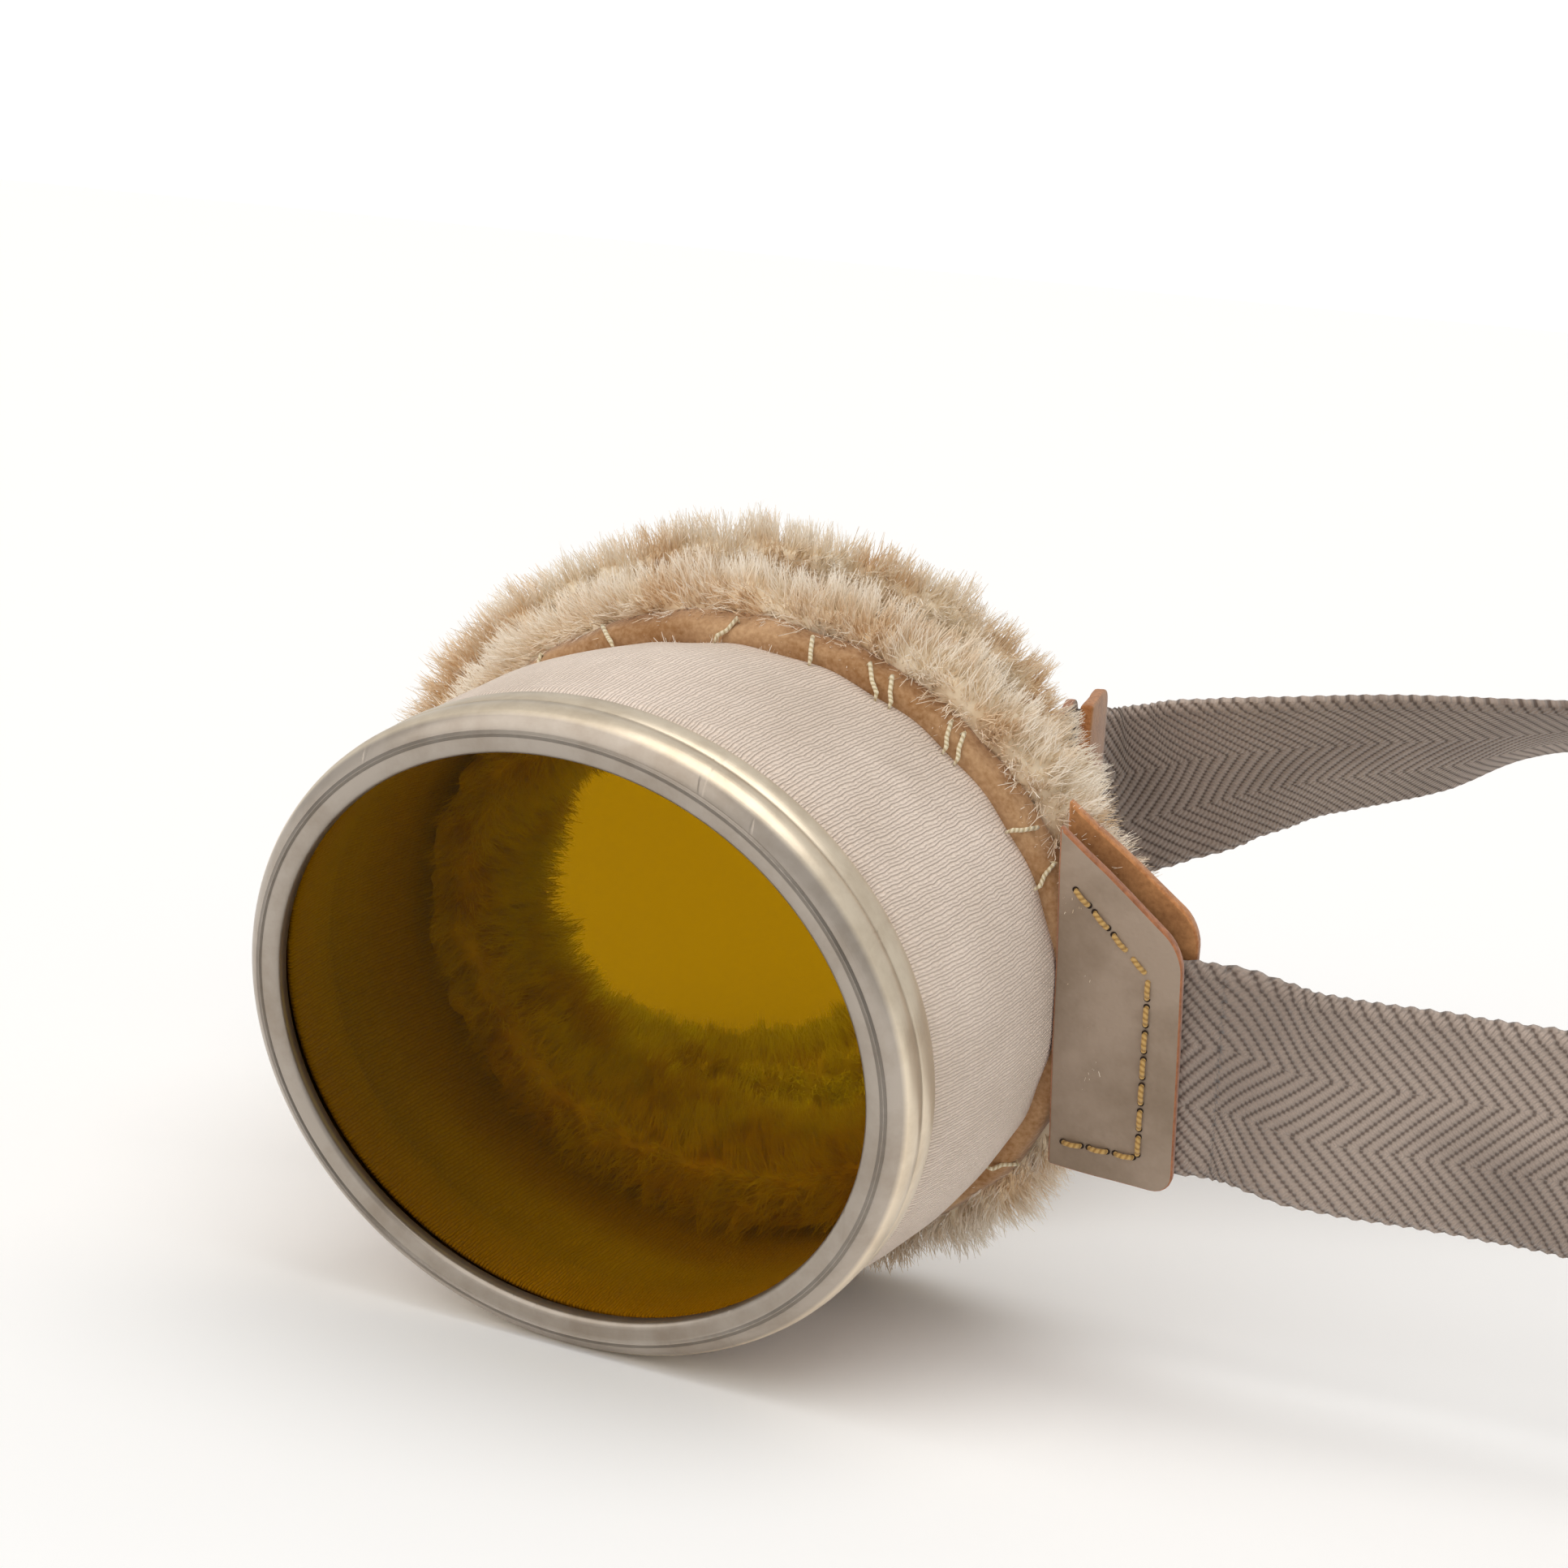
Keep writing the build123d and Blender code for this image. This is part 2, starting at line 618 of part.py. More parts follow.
# ---- the whole part ----------------------------------------------------------------------------------
def make_part():
    """Every node of the part by name, in the left cup's frame."""
    nodes = make_cup("left", LEFT_TAB)
    right = make_cup("right", RIGHT_TAB)
    nodes.update({name: fold_right(piece) for name, piece in right.items()})
    nodes["bridge_rivets"] = make_bridge_rivets()
    nodes["nose_bridge"] = make_bridge() - nodes["bridge_rivets"]
    nodes["stud"] = make_stud()
    nodes["left_strap"] = make_left_strap() - stud_rod(-5, 5, STUD_POST_RADIUS)
    nodes["right_strap"] = make_right_strap()
    nodes["stud_socket"] = make_socket()
    nodes["socket_cap"] = make_socket_cap()
    nodes["adjuster_slide"] = make_slide()
    return nodes


def footing(nodes):
    """Point under the middle of the whole part, on the surface that it stands on."""
    boxes = [piece.bounding_box() for piece in nodes.values()]
    low = Vector(min(b.min.X for b in boxes), min(b.min.Y for b in boxes), 0)
    high = Vector(max(b.max.X for b in boxes), max(b.max.Y for b in boxes), 0)
    middle = (low + high) / 2
    return Vector(middle.X, middle.Y, min(b.min.Z for b in boxes))


def main():
    """Writes every node to the parts folder, with its origin at the part's foot."""
    os.makedirs("parts", exist_ok=True)
    nodes = make_part()
    foot = footing(nodes)
    for name, piece in nodes.items():
        export_step(Pos(-foot.X, -foot.Y, -foot.Z) * piece, f"parts/{name}.step")
    print("the left cup's frame stands at", tuple(-foot))


if __name__ == "__main__":
    main()
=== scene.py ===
"""Looks of the folding motorcycle goggles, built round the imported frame."""
import json
import math

import bmesh
import bpy
import numpy as np
from bpy.props import FloatProperty, IntProperty, PointerProperty, StringProperty
from mathutils import Matrix, Vector, noise
from mathutils.kdtree import KDTree


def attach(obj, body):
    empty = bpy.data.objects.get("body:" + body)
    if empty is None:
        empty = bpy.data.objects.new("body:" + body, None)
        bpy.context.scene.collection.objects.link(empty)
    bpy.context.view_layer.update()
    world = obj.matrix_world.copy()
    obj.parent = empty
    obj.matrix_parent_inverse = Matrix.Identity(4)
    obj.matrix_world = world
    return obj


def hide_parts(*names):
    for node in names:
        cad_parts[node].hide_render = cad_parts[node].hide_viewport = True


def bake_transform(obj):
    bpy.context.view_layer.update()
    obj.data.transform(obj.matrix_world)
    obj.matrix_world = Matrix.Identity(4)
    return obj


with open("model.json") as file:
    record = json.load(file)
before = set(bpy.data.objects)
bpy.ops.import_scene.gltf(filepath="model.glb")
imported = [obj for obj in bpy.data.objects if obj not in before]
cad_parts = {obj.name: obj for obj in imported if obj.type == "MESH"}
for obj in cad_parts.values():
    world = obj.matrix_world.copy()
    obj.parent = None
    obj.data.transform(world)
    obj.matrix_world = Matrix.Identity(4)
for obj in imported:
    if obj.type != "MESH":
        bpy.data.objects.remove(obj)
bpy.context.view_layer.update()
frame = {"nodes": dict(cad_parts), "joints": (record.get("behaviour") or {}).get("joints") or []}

bl_info = {
    "name": "Motorcycle Goggles",
    "version": (1, 0, 0),
    "blender": (4, 5, 0),
    "location": "View3D > Sidebar > Goggles",
    "description": "Rims, lenses, knitted cups, sheepskin pads, tabs and webbing of a pair of goggles",
    "category": "Mesh",
}

# ---- where things are ----
MM = 0.001
JOINTS = {joint["name"]: joint for joint in frame["joints"]}
NEAR_PIN = Vector(JOINTS["bridge_fold"]["pos_m"])
FAR_PIN = Vector(JOINTS["cup_fold"]["pos_m"])
NOSE_PIN = Vector((-37.6, 31.2, 0.0))           # in a cup's own frame, mm
CUP_PITCH = math.radians(11.0)
CUP_TURN = math.radians(31.0)
SIDES = ("left", "right")

# half widths and half heights in mm; a depth is measured back from the rim's lip
OPENING = (28.2, 25.2)
PAD_SHIFT = (1.4, -0.9)                         # the pad sits off the lens's middle
HIDE_HALF = (32.8, 29.4)
FLEECE_INNER = (24.5, 20.5)
SLEEVE_SECTIONS = (                             # depth, half sizes, shift across and up
    (4.4, 31.1, 28.1, 0.0, 0.0),
    (6.1, 31.1, 28.1, 0.0, 0.0),
    (8.0, 31.8, 28.7, 0.1, 0.0),
    (13.0, 32.4, 29.0, 0.4, -0.2),
    (19.0, 32.5, 29.0, 0.8, -0.4),
    (25.0, 32.1, 28.6, 1.2, -0.7),
    (29.5, 31.6, 28.2, 1.4, -0.9),
)
SLEEVE_END = 29.5
KNIT_PITCH = 0.66                               # one rib to the next
KNIT_RIBS = 290
COURSE = 0.75                                   # one row of knitting to the next
WHIPS_ROUND = 22                                # whip stitches that would fill the seam
FIBRES_IN_LOCK = 34
TABS = {
    "left": {"foot": (33.2, 28.5), "turn": 8.0, "drop": 5.7, "rise": 0.0, "lean": 11.0},
    "right": {"foot": (32.7, 29.8), "turn": -72.0, "drop": -7.0, "rise": 0.0, "lean": -3.4},
}
TAB_LENGTH = 10.7
TAB_BASE_HALF = 15.8
TAB_END_HALF = 11.6
STRAP_WIDTH = 20.0
STRAP_THICKNESS = 1.6
WEFT_PITCH = 1.4
STATION_STEP = 0.4
TUCKED = 6                                      # stations of a webbing inside its tab
STRAP_LEAD = (0.9, 2.1, 3.3)
# each point of a route is x, y, z in the part's mm and the webbing's lean outwards in degrees
LEFT_STRAP_ROUTE = (
    (54.0, 33.6, -6.2, 11.0),
    (66.0, 35.9, -6.3, 11.0),
    (78.0, 38.3, -6.6, 9.0),
    (92.0, 41.0, -9.0, 0.0),
    (150.0, 49.5, -17.7, 0.0),
)
RIGHT_STRAP_ROUTE = (
    (8.5, 99.8, 4.3, -3.0),
    (10.6, 103.6, 4.9, 8.0),
    (15.2, 105.9, 6.6, 22.0),
    (21.2, 106.4, 8.9, 34.0),
    (27.8, 107.0, 11.0, 42.0),
    (35.8, 109.2, 12.9, 46.0),
    (44.6, 113.3, 14.6, 52.0),
    (54.5, 121.0, 17.0, 66.0),
    (66.0, 131.5, 17.0, 70.0),
    (84.0, 141.5, 12.5, 56.0),
    (106.0, 145.5, 4.5, 36.0),
    (130.0, 141.5, -5.0, 18.0),
    (150.0, 129.5, -13.5, 8.0),
    (164.0, 111.0, -20.0, 2.0),
    (169.0, 89.0, -23.6, 0.0),
    (165.0, 69.0, -22.8, 0.0),
)
LAP_GAP = 2.0
STRAP_LAP = 27.0
UP = Vector((0, 0, 1))


def cup_matrix(side):
    """Takes a cup's own millimetres to the row frame."""
    own = Matrix.Rotation(CUP_PITCH, 4, "X") @ Matrix.Translation(-NOSE_PIN)
    if side == "left":
        return Matrix.Translation(NEAR_PIN) @ Matrix.Scale(MM, 4) @ own
    fold = Matrix.Rotation(CUP_TURN - math.pi, 4, "Z") @ Matrix.Diagonal((-1, 1, 1, 1))
    return Matrix.Translation(FAR_PIN) @ Matrix.Scale(MM, 4) @ fold @ own


def part_matrix():
    """Takes the part's unshifted millimetres, in which the straps are routed, to the row frame."""
    return Matrix.Translation(NEAR_PIN) @ Matrix.Scale(MM, 4) @ Matrix.Translation(-NOSE_PIN)


# ---- materials ----
def linear(hexa):
    """An sRGB hex colour as linear RGBA."""
    parts = [int(hexa[i:i + 2], 16) / 255 for i in (1, 3, 5)]
    return tuple(c / 12.92 if c <= 0.04045 else ((c + 0.055) / 1.055) ** 2.4 for c in parts) + (1.0,)


def feed(tree, node, inputs):
    """Gives a node's inputs their values or links."""
    for name, value in inputs.items():
        if isinstance(value, bpy.types.Node):
            value = value.outputs[0]
        if isinstance(value, bpy.types.NodeSocket):
            tree.links.new(value, node.inputs[name])
        else:
            node.inputs[name].default_value = value


def add(tree, kind, inputs=None, stops=(), **settings):
    """Adds a shader node with its settings and inputs; stops are a ramp's positions and colours."""
    node = tree.nodes.new("ShaderNode" + kind)
    for name, value in settings.items():
        setattr(node, name, value)
    feed(tree, node, inputs or {})
    elements = node.color_ramp.elements if stops else []
    while len(elements) < len(stops):
        elements.new(0.5)
    for element, (position, colour) in zip(elements, stops):
        element.position = position
        element.color = linear(colour) if isinstance(colour, str) else (colour,) * 3 + (1.0,)
    return node


def surface(name, **sockets):
    """A new material with a Principled shader on its output."""
    mat = bpy.data.materials.new(name)
    mat.use_nodes = True
    tree = mat.node_tree
    tree.nodes.clear()
    shader = add(tree, "BsdfPrincipled", {k.replace("_", " "): v for k, v in sockets.items()})
    add(tree, "OutputMaterial", {"Surface": shader})
    return mat, tree, shader


def spun_aluminium(tone):
    """Spun aluminium under aged lacquer: satin, faint turning lines round it and scratches."""
    mat, tree, shader = surface("spun_aluminium_lacquered", Metallic=0.75)
    uv = add(tree, "UVMap", uv_map="UVMap").outputs[0]
    coord = add(tree, "TexCoord").outputs["Object"]
    lines = add(tree, "Mapping", {"Vector": uv, "Scale": (0.05, 9.0, 1.0)})
    turning = add(tree, "TexNoise", {"Vector": lines, "Scale": 1.0, "Detail": 3.0})
    blotch = add(tree, "TexNoise", {"Vector": coord, "Scale": 140.0, "Detail": 5.0, "Roughness": 0.65})
    split = add(tree, "SeparateXYZ", {"Vector": uv})
    along = add(tree, "MapRange", {"Value": split.outputs[1], "From Min": 0.0, "From Max": 12.0})
    # painted shade: the rolled lip is painted darker than the band, though both are one metal
    band = add(tree, "ValToRGB", {"Fac": along},
               stops=((0.0, "#A89E93"), (0.33, "#B9AEA2"), (0.39, tone), (1.0, tone)))
    grime = add(tree, "ValToRGB", {"Fac": blotch}, stops=((0.32, "#C9BEB0"), (0.58, "#FFFFFF")))
    coloured = add(tree, "MixRGB", {"Fac": 0.55, "Color1": band, "Color2": grime}, blend_type="MULTIPLY")
    # a few long scratches: thin, nearly straight cells of a stretched noise
    scratch_map = add(tree, "Mapping", {
        "Vector": coord, "Rotation": (0.3, 0.5, 0.4), "Scale": (700.0, 22.0, 60.0)})
    scratch = add(tree, "TexNoise", {"Vector": scratch_map, "Scale": 1.0, "Detail": 1.0})
    marks = add(tree, "ValToRGB", {"Fac": scratch}, stops=((0.70, 0.0), (0.73, 1.0)))
    rough = add(tree, "MapRange", {"Value": blotch, "To Min": 0.24, "To Max": 0.40})
    height = add(tree, "Math", {0: add(tree, "Math", {0: turning, 1: 0.25}, operation="MULTIPLY"), 1: marks},
                 operation="SUBTRACT")
    bump = add(tree, "Bump", {"Height": height, "Strength": 0.16, "Distance": 0.00025})
    feed(tree, shader, {"Base Color": coloured, "Roughness": rough, "Normal": bump})
    return mat


def amber_glass(tone):
    """Flat amber glass: clear, deep yellow-olive, with fine wiping scratches."""
    mat = bpy.data.materials.new("amber_glass")
    mat.use_nodes = True
    tree = mat.node_tree
    tree.nodes.clear()
    coord = add(tree, "TexCoord").outputs["Object"]
    drawn = add(tree, "Mapping", {"Vector": coord, "Rotation": (0.0, 0.7, 0.0), "Scale": (30.0, 30.0, 900.0)})
    wipe = add(tree, "TexNoise", {"Vector": drawn, "Scale": 2.0, "Detail": 2.0})
    bump = add(tree, "Bump", {"Height": wipe, "Strength": 0.02, "Distance": 0.0002})
    # the IOR is held well under glass's own 1.52, so that little of the white room shows in the pane
    glass = add(tree, "BsdfPrincipled", {
        "Base Color": linear(tone), "Roughness": 0.03, "IOR": 1.12, "Specular IOR Level": 0.12,
        "Transmission Weight": 1.0, "Normal": bump})
    shade = add(tree, "BsdfTransparent", {"Color": linear(tone)})
    path = add(tree, "LightPath")
    seen = add(tree, "MixShader", {0: path.outputs["Is Shadow Ray"], 1: glass, 2: shade})
    add(tree, "OutputMaterial", {"Surface": seen})
    return mat


def knit_wool(tone):
    """Fine cotton rib knit, matt and fuzzy: each rib is a smooth cord beside a row of slanting stitches."""
    mat, tree, shader = surface("rib_knit_cotton", Roughness=0.86, Sheen_Weight=0.25, Sheen_Roughness=0.5)
    uv = add(tree, "UVMap", uv_map="UVMap")
    coord = add(tree, "TexCoord").outputs["Object"]
    wobble = add(tree, "TexNoise", {"Vector": uv, "Scale": 0.55, "Detail": 2.0})
    split = add(tree, "SeparateXYZ", {"Vector": uv})
    across = add(tree, "Math", {0: wobble, 1: 0.5, 2: split.outputs[0]}, operation="MULTIPLY_ADD")
    ribs = add(tree, "Math", {0: across, 1: KNIT_PITCH}, operation="DIVIDE")
    wale = add(tree, "Math", {0: ribs}, operation="FRACT")
    # smooth cord: a round ridge over the first 45 % of the rib
    from_cord = add(tree, "Math", {0: wale, 1: 0.25}, operation="SUBTRACT")
    cord = add(tree, "MapRange", {
        "Value": add(tree, "Math", {0: from_cord}, operation="ABSOLUTE"), "From Min": 0.05, "From Max": 0.24,
        "To Min": 1.0, "To Max": 0.0}, interpolation_type="SMOOTHSTEP")
    # slanting stitches over the rest, one to a course
    course = add(tree, "Math", {0: split.outputs[1], 1: COURSE}, operation="DIVIDE")
    stitch_at = add(tree, "Math", {0: wale, 1: 0.9, 2: course}, operation="MULTIPLY_ADD")
    phase = add(tree, "Math", {0: stitch_at, 1: math.tau}, operation="MULTIPLY")
    swing = add(tree, "Math", {0: phase}, operation="SINE")
    stitch = add(tree, "Math", {0: swing, 1: 0.5, 2: 0.5}, operation="MULTIPLY_ADD")
    from_row = add(tree, "Math", {0: wale, 1: 0.73}, operation="SUBTRACT")
    row = add(tree, "MapRange", {
        "Value": add(tree, "Math", {0: from_row}, operation="ABSOLUTE"), "From Min": 0.10, "From Max": 0.27,
        "To Min": 0.85, "To Max": 0.0}, interpolation_type="SMOOTHSTEP")
    raised = add(tree, "Math", {0: stitch, 1: 0.7, 2: 0.3}, operation="MULTIPLY_ADD")
    stitches = add(tree, "Math", {0: row, 1: raised}, operation="MULTIPLY")
    height = add(tree, "Math", {0: cord, 1: stitches}, operation="MAXIMUM")
    fuzz = add(tree, "TexNoise", {"Vector": coord, "Scale": 2600.0, "Detail": 2.0})
    felted = add(tree, "Math", {0: fuzz, 1: 0.22, 2: height}, operation="MULTIPLY_ADD")
    soil = add(tree, "TexNoise", {"Vector": coord, "Scale": 45.0, "Detail": 4.0, "Roughness": 0.6})
    pale = add(tree, "ValToRGB", {"Fac": soil}, stops=((0.35, "#E2CFBD"), (0.65, tone)))
    # painted shade: the knit's colour darkens where it lies low, between the cords and the stitches
    gap = add(tree, "ValToRGB", {"Fac": felted}, stops=((0.08, "#A89584"), (0.36, "#FFFFFF")))
    both = add(tree, "MixRGB", {"Fac": 0.5, "Color1": pale, "Color2": gap}, blend_type="MULTIPLY")
    bump = add(tree, "Bump", {"Height": felted, "Strength": 0.8, "Distance": 0.0002})
    feed(tree, shader, {"Base Color": both, "Normal": bump})
    return mat


def napped_suede(name, tone, dark, scale):
    """Suede side of sheepskin or split leather: matt nap with rubbed lighter and darker patches."""
    mat, tree, shader = surface(name, Roughness=0.92, Sheen_Weight=0.35, Sheen_Roughness=0.45)
    coord = add(tree, "TexCoord").outputs["Object"]
    patch = add(tree, "TexNoise", {"Vector": coord, "Scale": scale, "Detail": 6.0, "Roughness": 0.7})
    nap = add(tree, "TexNoise", {"Vector": coord, "Scale": 2400.0, "Detail": 3.0})
    rubbed = add(tree, "Math", {0: patch, 1: 0.65}, operation="MULTIPLY")
    mix = add(tree, "Math", {0: nap, 1: 0.35, 2: rubbed}, operation="MULTIPLY_ADD")
    shades = add(tree, "ValToRGB", {"Fac": mix}, stops=((0.36, dark), (0.62, tone)))
    bump = add(tree, "Bump", {"Height": mix, "Strength": 0.7, "Distance": 0.00025})
    feed(tree, shader, {"Base Color": shades, "Normal": bump})
    return mat


def wool_fleece(name, root, tip):
    """Sheep's wool: matt fibres, tan at the skin and cream at the tips."""
    mat, tree, shader = surface(name, Roughness=0.8, Sheen_Weight=0.3, Sheen_Roughness=0.4)
    uv = add(tree, "SeparateXYZ", {"Vector": add(tree, "UVMap", uv_map="UVMap")})
    coord = add(tree, "TexCoord").outputs["Object"]
    lock = add(tree, "TexNoise", {"Vector": coord, "Scale": 160.0, "Detail": 3.0})
    along = add(tree, "ValToRGB", {"Fac": uv.outputs[0]}, stops=((0.0, root), (0.75, tip)))
    tint = add(tree, "ValToRGB", {"Fac": lock}, stops=((0.36, "#EBD6B9"), (0.54, "#FFFFFF")))
    both = add(tree, "MixRGB", {"Fac": 0.75, "Color1": along, "Color2": tint}, blend_type="MULTIPLY")
    feed(tree, shader, {"Base Color": both})
    return mat


def grained_leather(name, tone, dark, grain_mm):
    """Finished cowhide: fine pebbled grain under a satin coat, a little rubbed."""
    mat, tree, shader = surface(name, Specular_IOR_Level=0.4)
    coord = add(tree, "TexCoord").outputs["Object"]
    grain = add(tree, "TexVoronoi", {"Vector": coord, "Scale": 1000.0 / grain_mm}, feature="SMOOTH_F1")
    fine = add(tree, "TexNoise", {"Vector": coord, "Scale": 3200.0, "Detail": 3.0})
    wear = add(tree, "TexNoise", {"Vector": coord, "Scale": 90.0, "Detail": 5.0, "Roughness": 0.6})
    shades = add(tree, "ValToRGB", {"Fac": wear}, stops=((0.34, dark), (0.60, tone)))
    rough = add(tree, "MapRange", {"Value": wear, "To Min": 0.42, "To Max": 0.62})
    height = add(tree, "Math", {0: fine, 1: 0.35, 2: grain.outputs["Distance"]}, operation="MULTIPLY_ADD")
    bump = add(tree, "Bump", {"Height": height, "Strength": 0.35, "Distance": 0.00012})
    feed(tree, shader, {"Base Color": shades, "Roughness": rough, "Normal": bump})
    return mat


def twisted_thread(name, tone, dark):
    """Waxed or woollen sewing thread: two plies twisted, seen as slanting stripes."""
    mat, tree, shader = surface(name, Roughness=0.7, Sheen_Weight=0.2)
    uv = add(tree, "SeparateXYZ", {"Vector": add(tree, "UVMap", uv_map="UVMap")})
    turns = add(tree, "Math", {0: uv.outputs[1], 1: 2.2, 2: uv.outputs[0]}, operation="MULTIPLY_ADD")
    phase = add(tree, "Math", {0: turns, 1: math.tau}, operation="MULTIPLY")
    twist = add(tree, "Math", {0: phase}, operation="SINE")
    stripe = add(tree, "MapRange", {"Value": twist, "From Min": -1.0})
    # painted shade: each stripe is darkest in the groove between the plies, where the twist lies low
    shades = add(tree, "ValToRGB", {"Fac": stripe}, stops=((0.1, dark), (0.6, tone)))
    bump = add(tree, "Bump", {"Height": twist, "Strength": 0.5, "Distance": 0.0001})
    feed(tree, shader, {"Base Color": shades, "Normal": bump})
    return mat


def herringbone_webbing(tone, dark):
    """Cotton herringbone tape: three lengthwise bands of twill, ribs 1.4 mm apart, soft worn yarn."""
    mat, tree, shader = surface("herringbone_cotton_webbing", Roughness=0.9, Sheen_Weight=0.25,
                                Sheen_Roughness=0.5)
    uv = add(tree, "SeparateXYZ", {"Vector": add(tree, "UVMap", uv_map="UVMap")})
    coord = add(tree, "TexCoord").outputs["Object"]
    # the slant turns back at two lines along the tape, 6.8 and 12.6 mm from its lower edge
    slant = uv.outputs[0]
    for line, back in ((6.8, -2.0), (12.6, 2.0)):
        past = add(tree, "Math", {0: uv.outputs[0], 1: line}, operation="SUBTRACT")
        beyond = add(tree, "Math", {0: past, 1: 0.0}, operation="MAXIMUM")
        slant = add(tree, "Math", {0: beyond, 1: back, 2: slant}, operation="MULTIPLY_ADD")
    waves = []
    for lean, pitch in ((0.95, WEFT_PITCH), (-0.9, 0.62)):
        at = add(tree, "Math", {0: slant, 1: lean, 2: uv.outputs[1]}, operation="MULTIPLY_ADD")
        phase = add(tree, "Math", {0: at, 1: math.tau / pitch}, operation="MULTIPLY")
        waves.append(add(tree, "Math", {0: phase}, operation="SINE"))
    rib = add(tree, "MapRange", {"Value": waves[0], "From Min": -1.0})
    round_rib = add(tree, "Math", {0: rib, 1: 0.55}, operation="POWER")
    yarn = add(tree, "Math", {0: waves[1], 1: 0.22, 2: round_rib}, operation="MULTIPLY_ADD")
    fuzz = add(tree, "TexNoise", {"Vector": coord, "Scale": 1800.0, "Detail": 3.0})
    height = add(tree, "Math", {0: fuzz, 1: 0.3, 2: yarn}, operation="MULTIPLY_ADD")
    soil = add(tree, "TexNoise", {"Vector": coord, "Scale": 60.0, "Detail": 4.0})
    pale = add(tree, "ValToRGB", {"Fac": soil}, stops=((0.35, dark), (0.62, tone)))
    # painted shade: the tape's colour darkens where the weave lies low, between the ribs and the yarns
    gap = add(tree, "ValToRGB", {"Fac": height}, stops=((0.20, "#85776D"), (0.75, "#FFFFFF")))
    both = add(tree, "MixRGB", {"Fac": 0.8, "Color1": pale, "Color2": gap}, blend_type="MULTIPLY")
    bump = add(tree, "Bump", {"Height": height, "Strength": 0.8, "Distance": 0.0005})
    feed(tree, shader, {"Base Color": both, "Normal": bump})
    return mat


def plain_metal(name, tone, low, high):
    """Drawn or stamped metal: satin, with a cloudy handled finish."""
    mat, tree, shader = surface(name, Metallic=1.0)
    coord = add(tree, "TexCoord").outputs["Object"]
    cloud = add(tree, "TexNoise", {"Vector": coord, "Scale": 260.0, "Detail": 5.0, "Roughness": 0.6})
    rough = add(tree, "MapRange", {"Value": cloud, "To Min": low, "To Max": high})
    shades = add(tree, "ValToRGB", {"Fac": cloud}, stops=((0.3, "#7A6F5E"), (0.6, tone)))
    bump = add(tree, "Bump", {"Height": cloud, "Strength": 0.1, "Distance": 0.0001})
    feed(tree, shader, {"Base Color": shades, "Roughness": rough, "Normal": bump})
    return mat


MADE = {}


def finish_of(key):
    """The material for a slot, made when it is first asked for."""
    tones = bpy.context.scene.goggles
    makers = {
        "rim_metal": lambda: spun_aluminium(tones.rim),
        "lens_glass": lambda: amber_glass(tones.lens),
        "knit_wool": lambda: knit_wool(tones.knit),
        "sheepskin_suede": lambda: napped_suede("sheepskin_suede", tones.suede, "#976A3C", 110.0),
        "skin_edge": lambda: napped_suede("skin_cut_edge", "#C98A55", "#9A5E2E", 300.0),
        "sheep_fleece": lambda: wool_fleece("sheep_fleece_base", "#EBD5B4", "#F2E2C8"),
        "fleece_fibre": lambda: wool_fleece("sheep_wool_fibre", "#F2DFC2", tones.fleece),
        "whip_thread": lambda: twisted_thread("cream_whip_thread", "#EFE2C2", "#C8B48C"),
        "tab_leather": lambda: grained_leather("coated_tab_leather", tones.tab, "#86735F", 0.45),
        "tab_edge": lambda: napped_suede("tab_cut_edge", "#B9784E", "#8A5332", 400.0),
        "tab_suede": lambda: napped_suede("tab_split_suede", "#B7814F", "#8C5B30", 160.0),
        "tab_thread": lambda: twisted_thread("ochre_waxed_thread", "#D0A863", "#A98142"),
        "strap_webbing": lambda: herringbone_webbing(tones.strap, "#9E8D81"),
        "bridge_leather": lambda: grained_leather("bridge_leather", "#7D6650", "#5C4836", 0.6),
        "ring_steel": lambda: plain_metal("drawn_steel_wire", "#B8B4AC", 0.25, 0.42),
        "stud_metal": lambda: plain_metal("nickelled_brass", "#C9B78E", 0.22, 0.40),
        "hole": lambda: surface("needle_hole_shadow", Base_Color=linear("#2E2118"), Roughness=0.95)[0],
    }
    if key not in MADE:
        MADE[key] = makers[key]()
    return MADE[key]


# ---- mesh helpers ----
def new_object(name, data):
    """An object in the scene's own collection."""
    made = bpy.data.objects.new(name, data)
    bpy.context.scene.collection.objects.link(made)
    return made


def finish_piece(bm, name, matrix, body, slot, replaced=(), materials=None, smooth=True):
    """Turns a bmesh in millimetres into a finished piece that rides on a body."""
    bm.transform(matrix)
    if matrix.determinant() < 0:
        bmesh.ops.reverse_faces(bm, faces=bm.faces)
    for face in bm.faces:
        face.smooth = smooth
    mesh = bpy.data.meshes.new(name)
    bm.to_mesh(mesh)
    bm.free()
    for layer in mesh.uv_layers:
        layer.name = "UVMap"
    piece = new_object(name, mesh)
    for key in materials or (slot,):
        mesh.materials.append(finish_of(key))
    if body:
        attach(piece, body)
    if replaced:
        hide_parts(*replaced)
    return piece


def cup_piece(bm, side, name, slot, replaced=None, **options):
    """A finished piece that rides on a cup and is laid out in the cup's millimetres."""
    return finish_piece(bm, f"{side}_{name}", cup_matrix(side), f"{side}_cup", slot,
                        (f"{side}_{replaced}",) if replaced else (), **options)


def on_oval(half, out, angle, depth, shift):
    """The point at a depth and an angle, a distance outside an oval of two half sizes."""
    return Vector(((half[0] + out) * math.cos(angle) + shift[0], depth,
                   (half[1] + out) * math.sin(angle) + shift[1]))


def thicken(bm, move):
    """Extrudes the flat faces of a bmesh by a vector."""
    made = bmesh.ops.extrude_face_region(bm, geom=bm.faces[:])
    moved = [g for g in made["geom"] if isinstance(g, bmesh.types.BMVert)]
    bmesh.ops.translate(bm, vec=move, verts=moved)


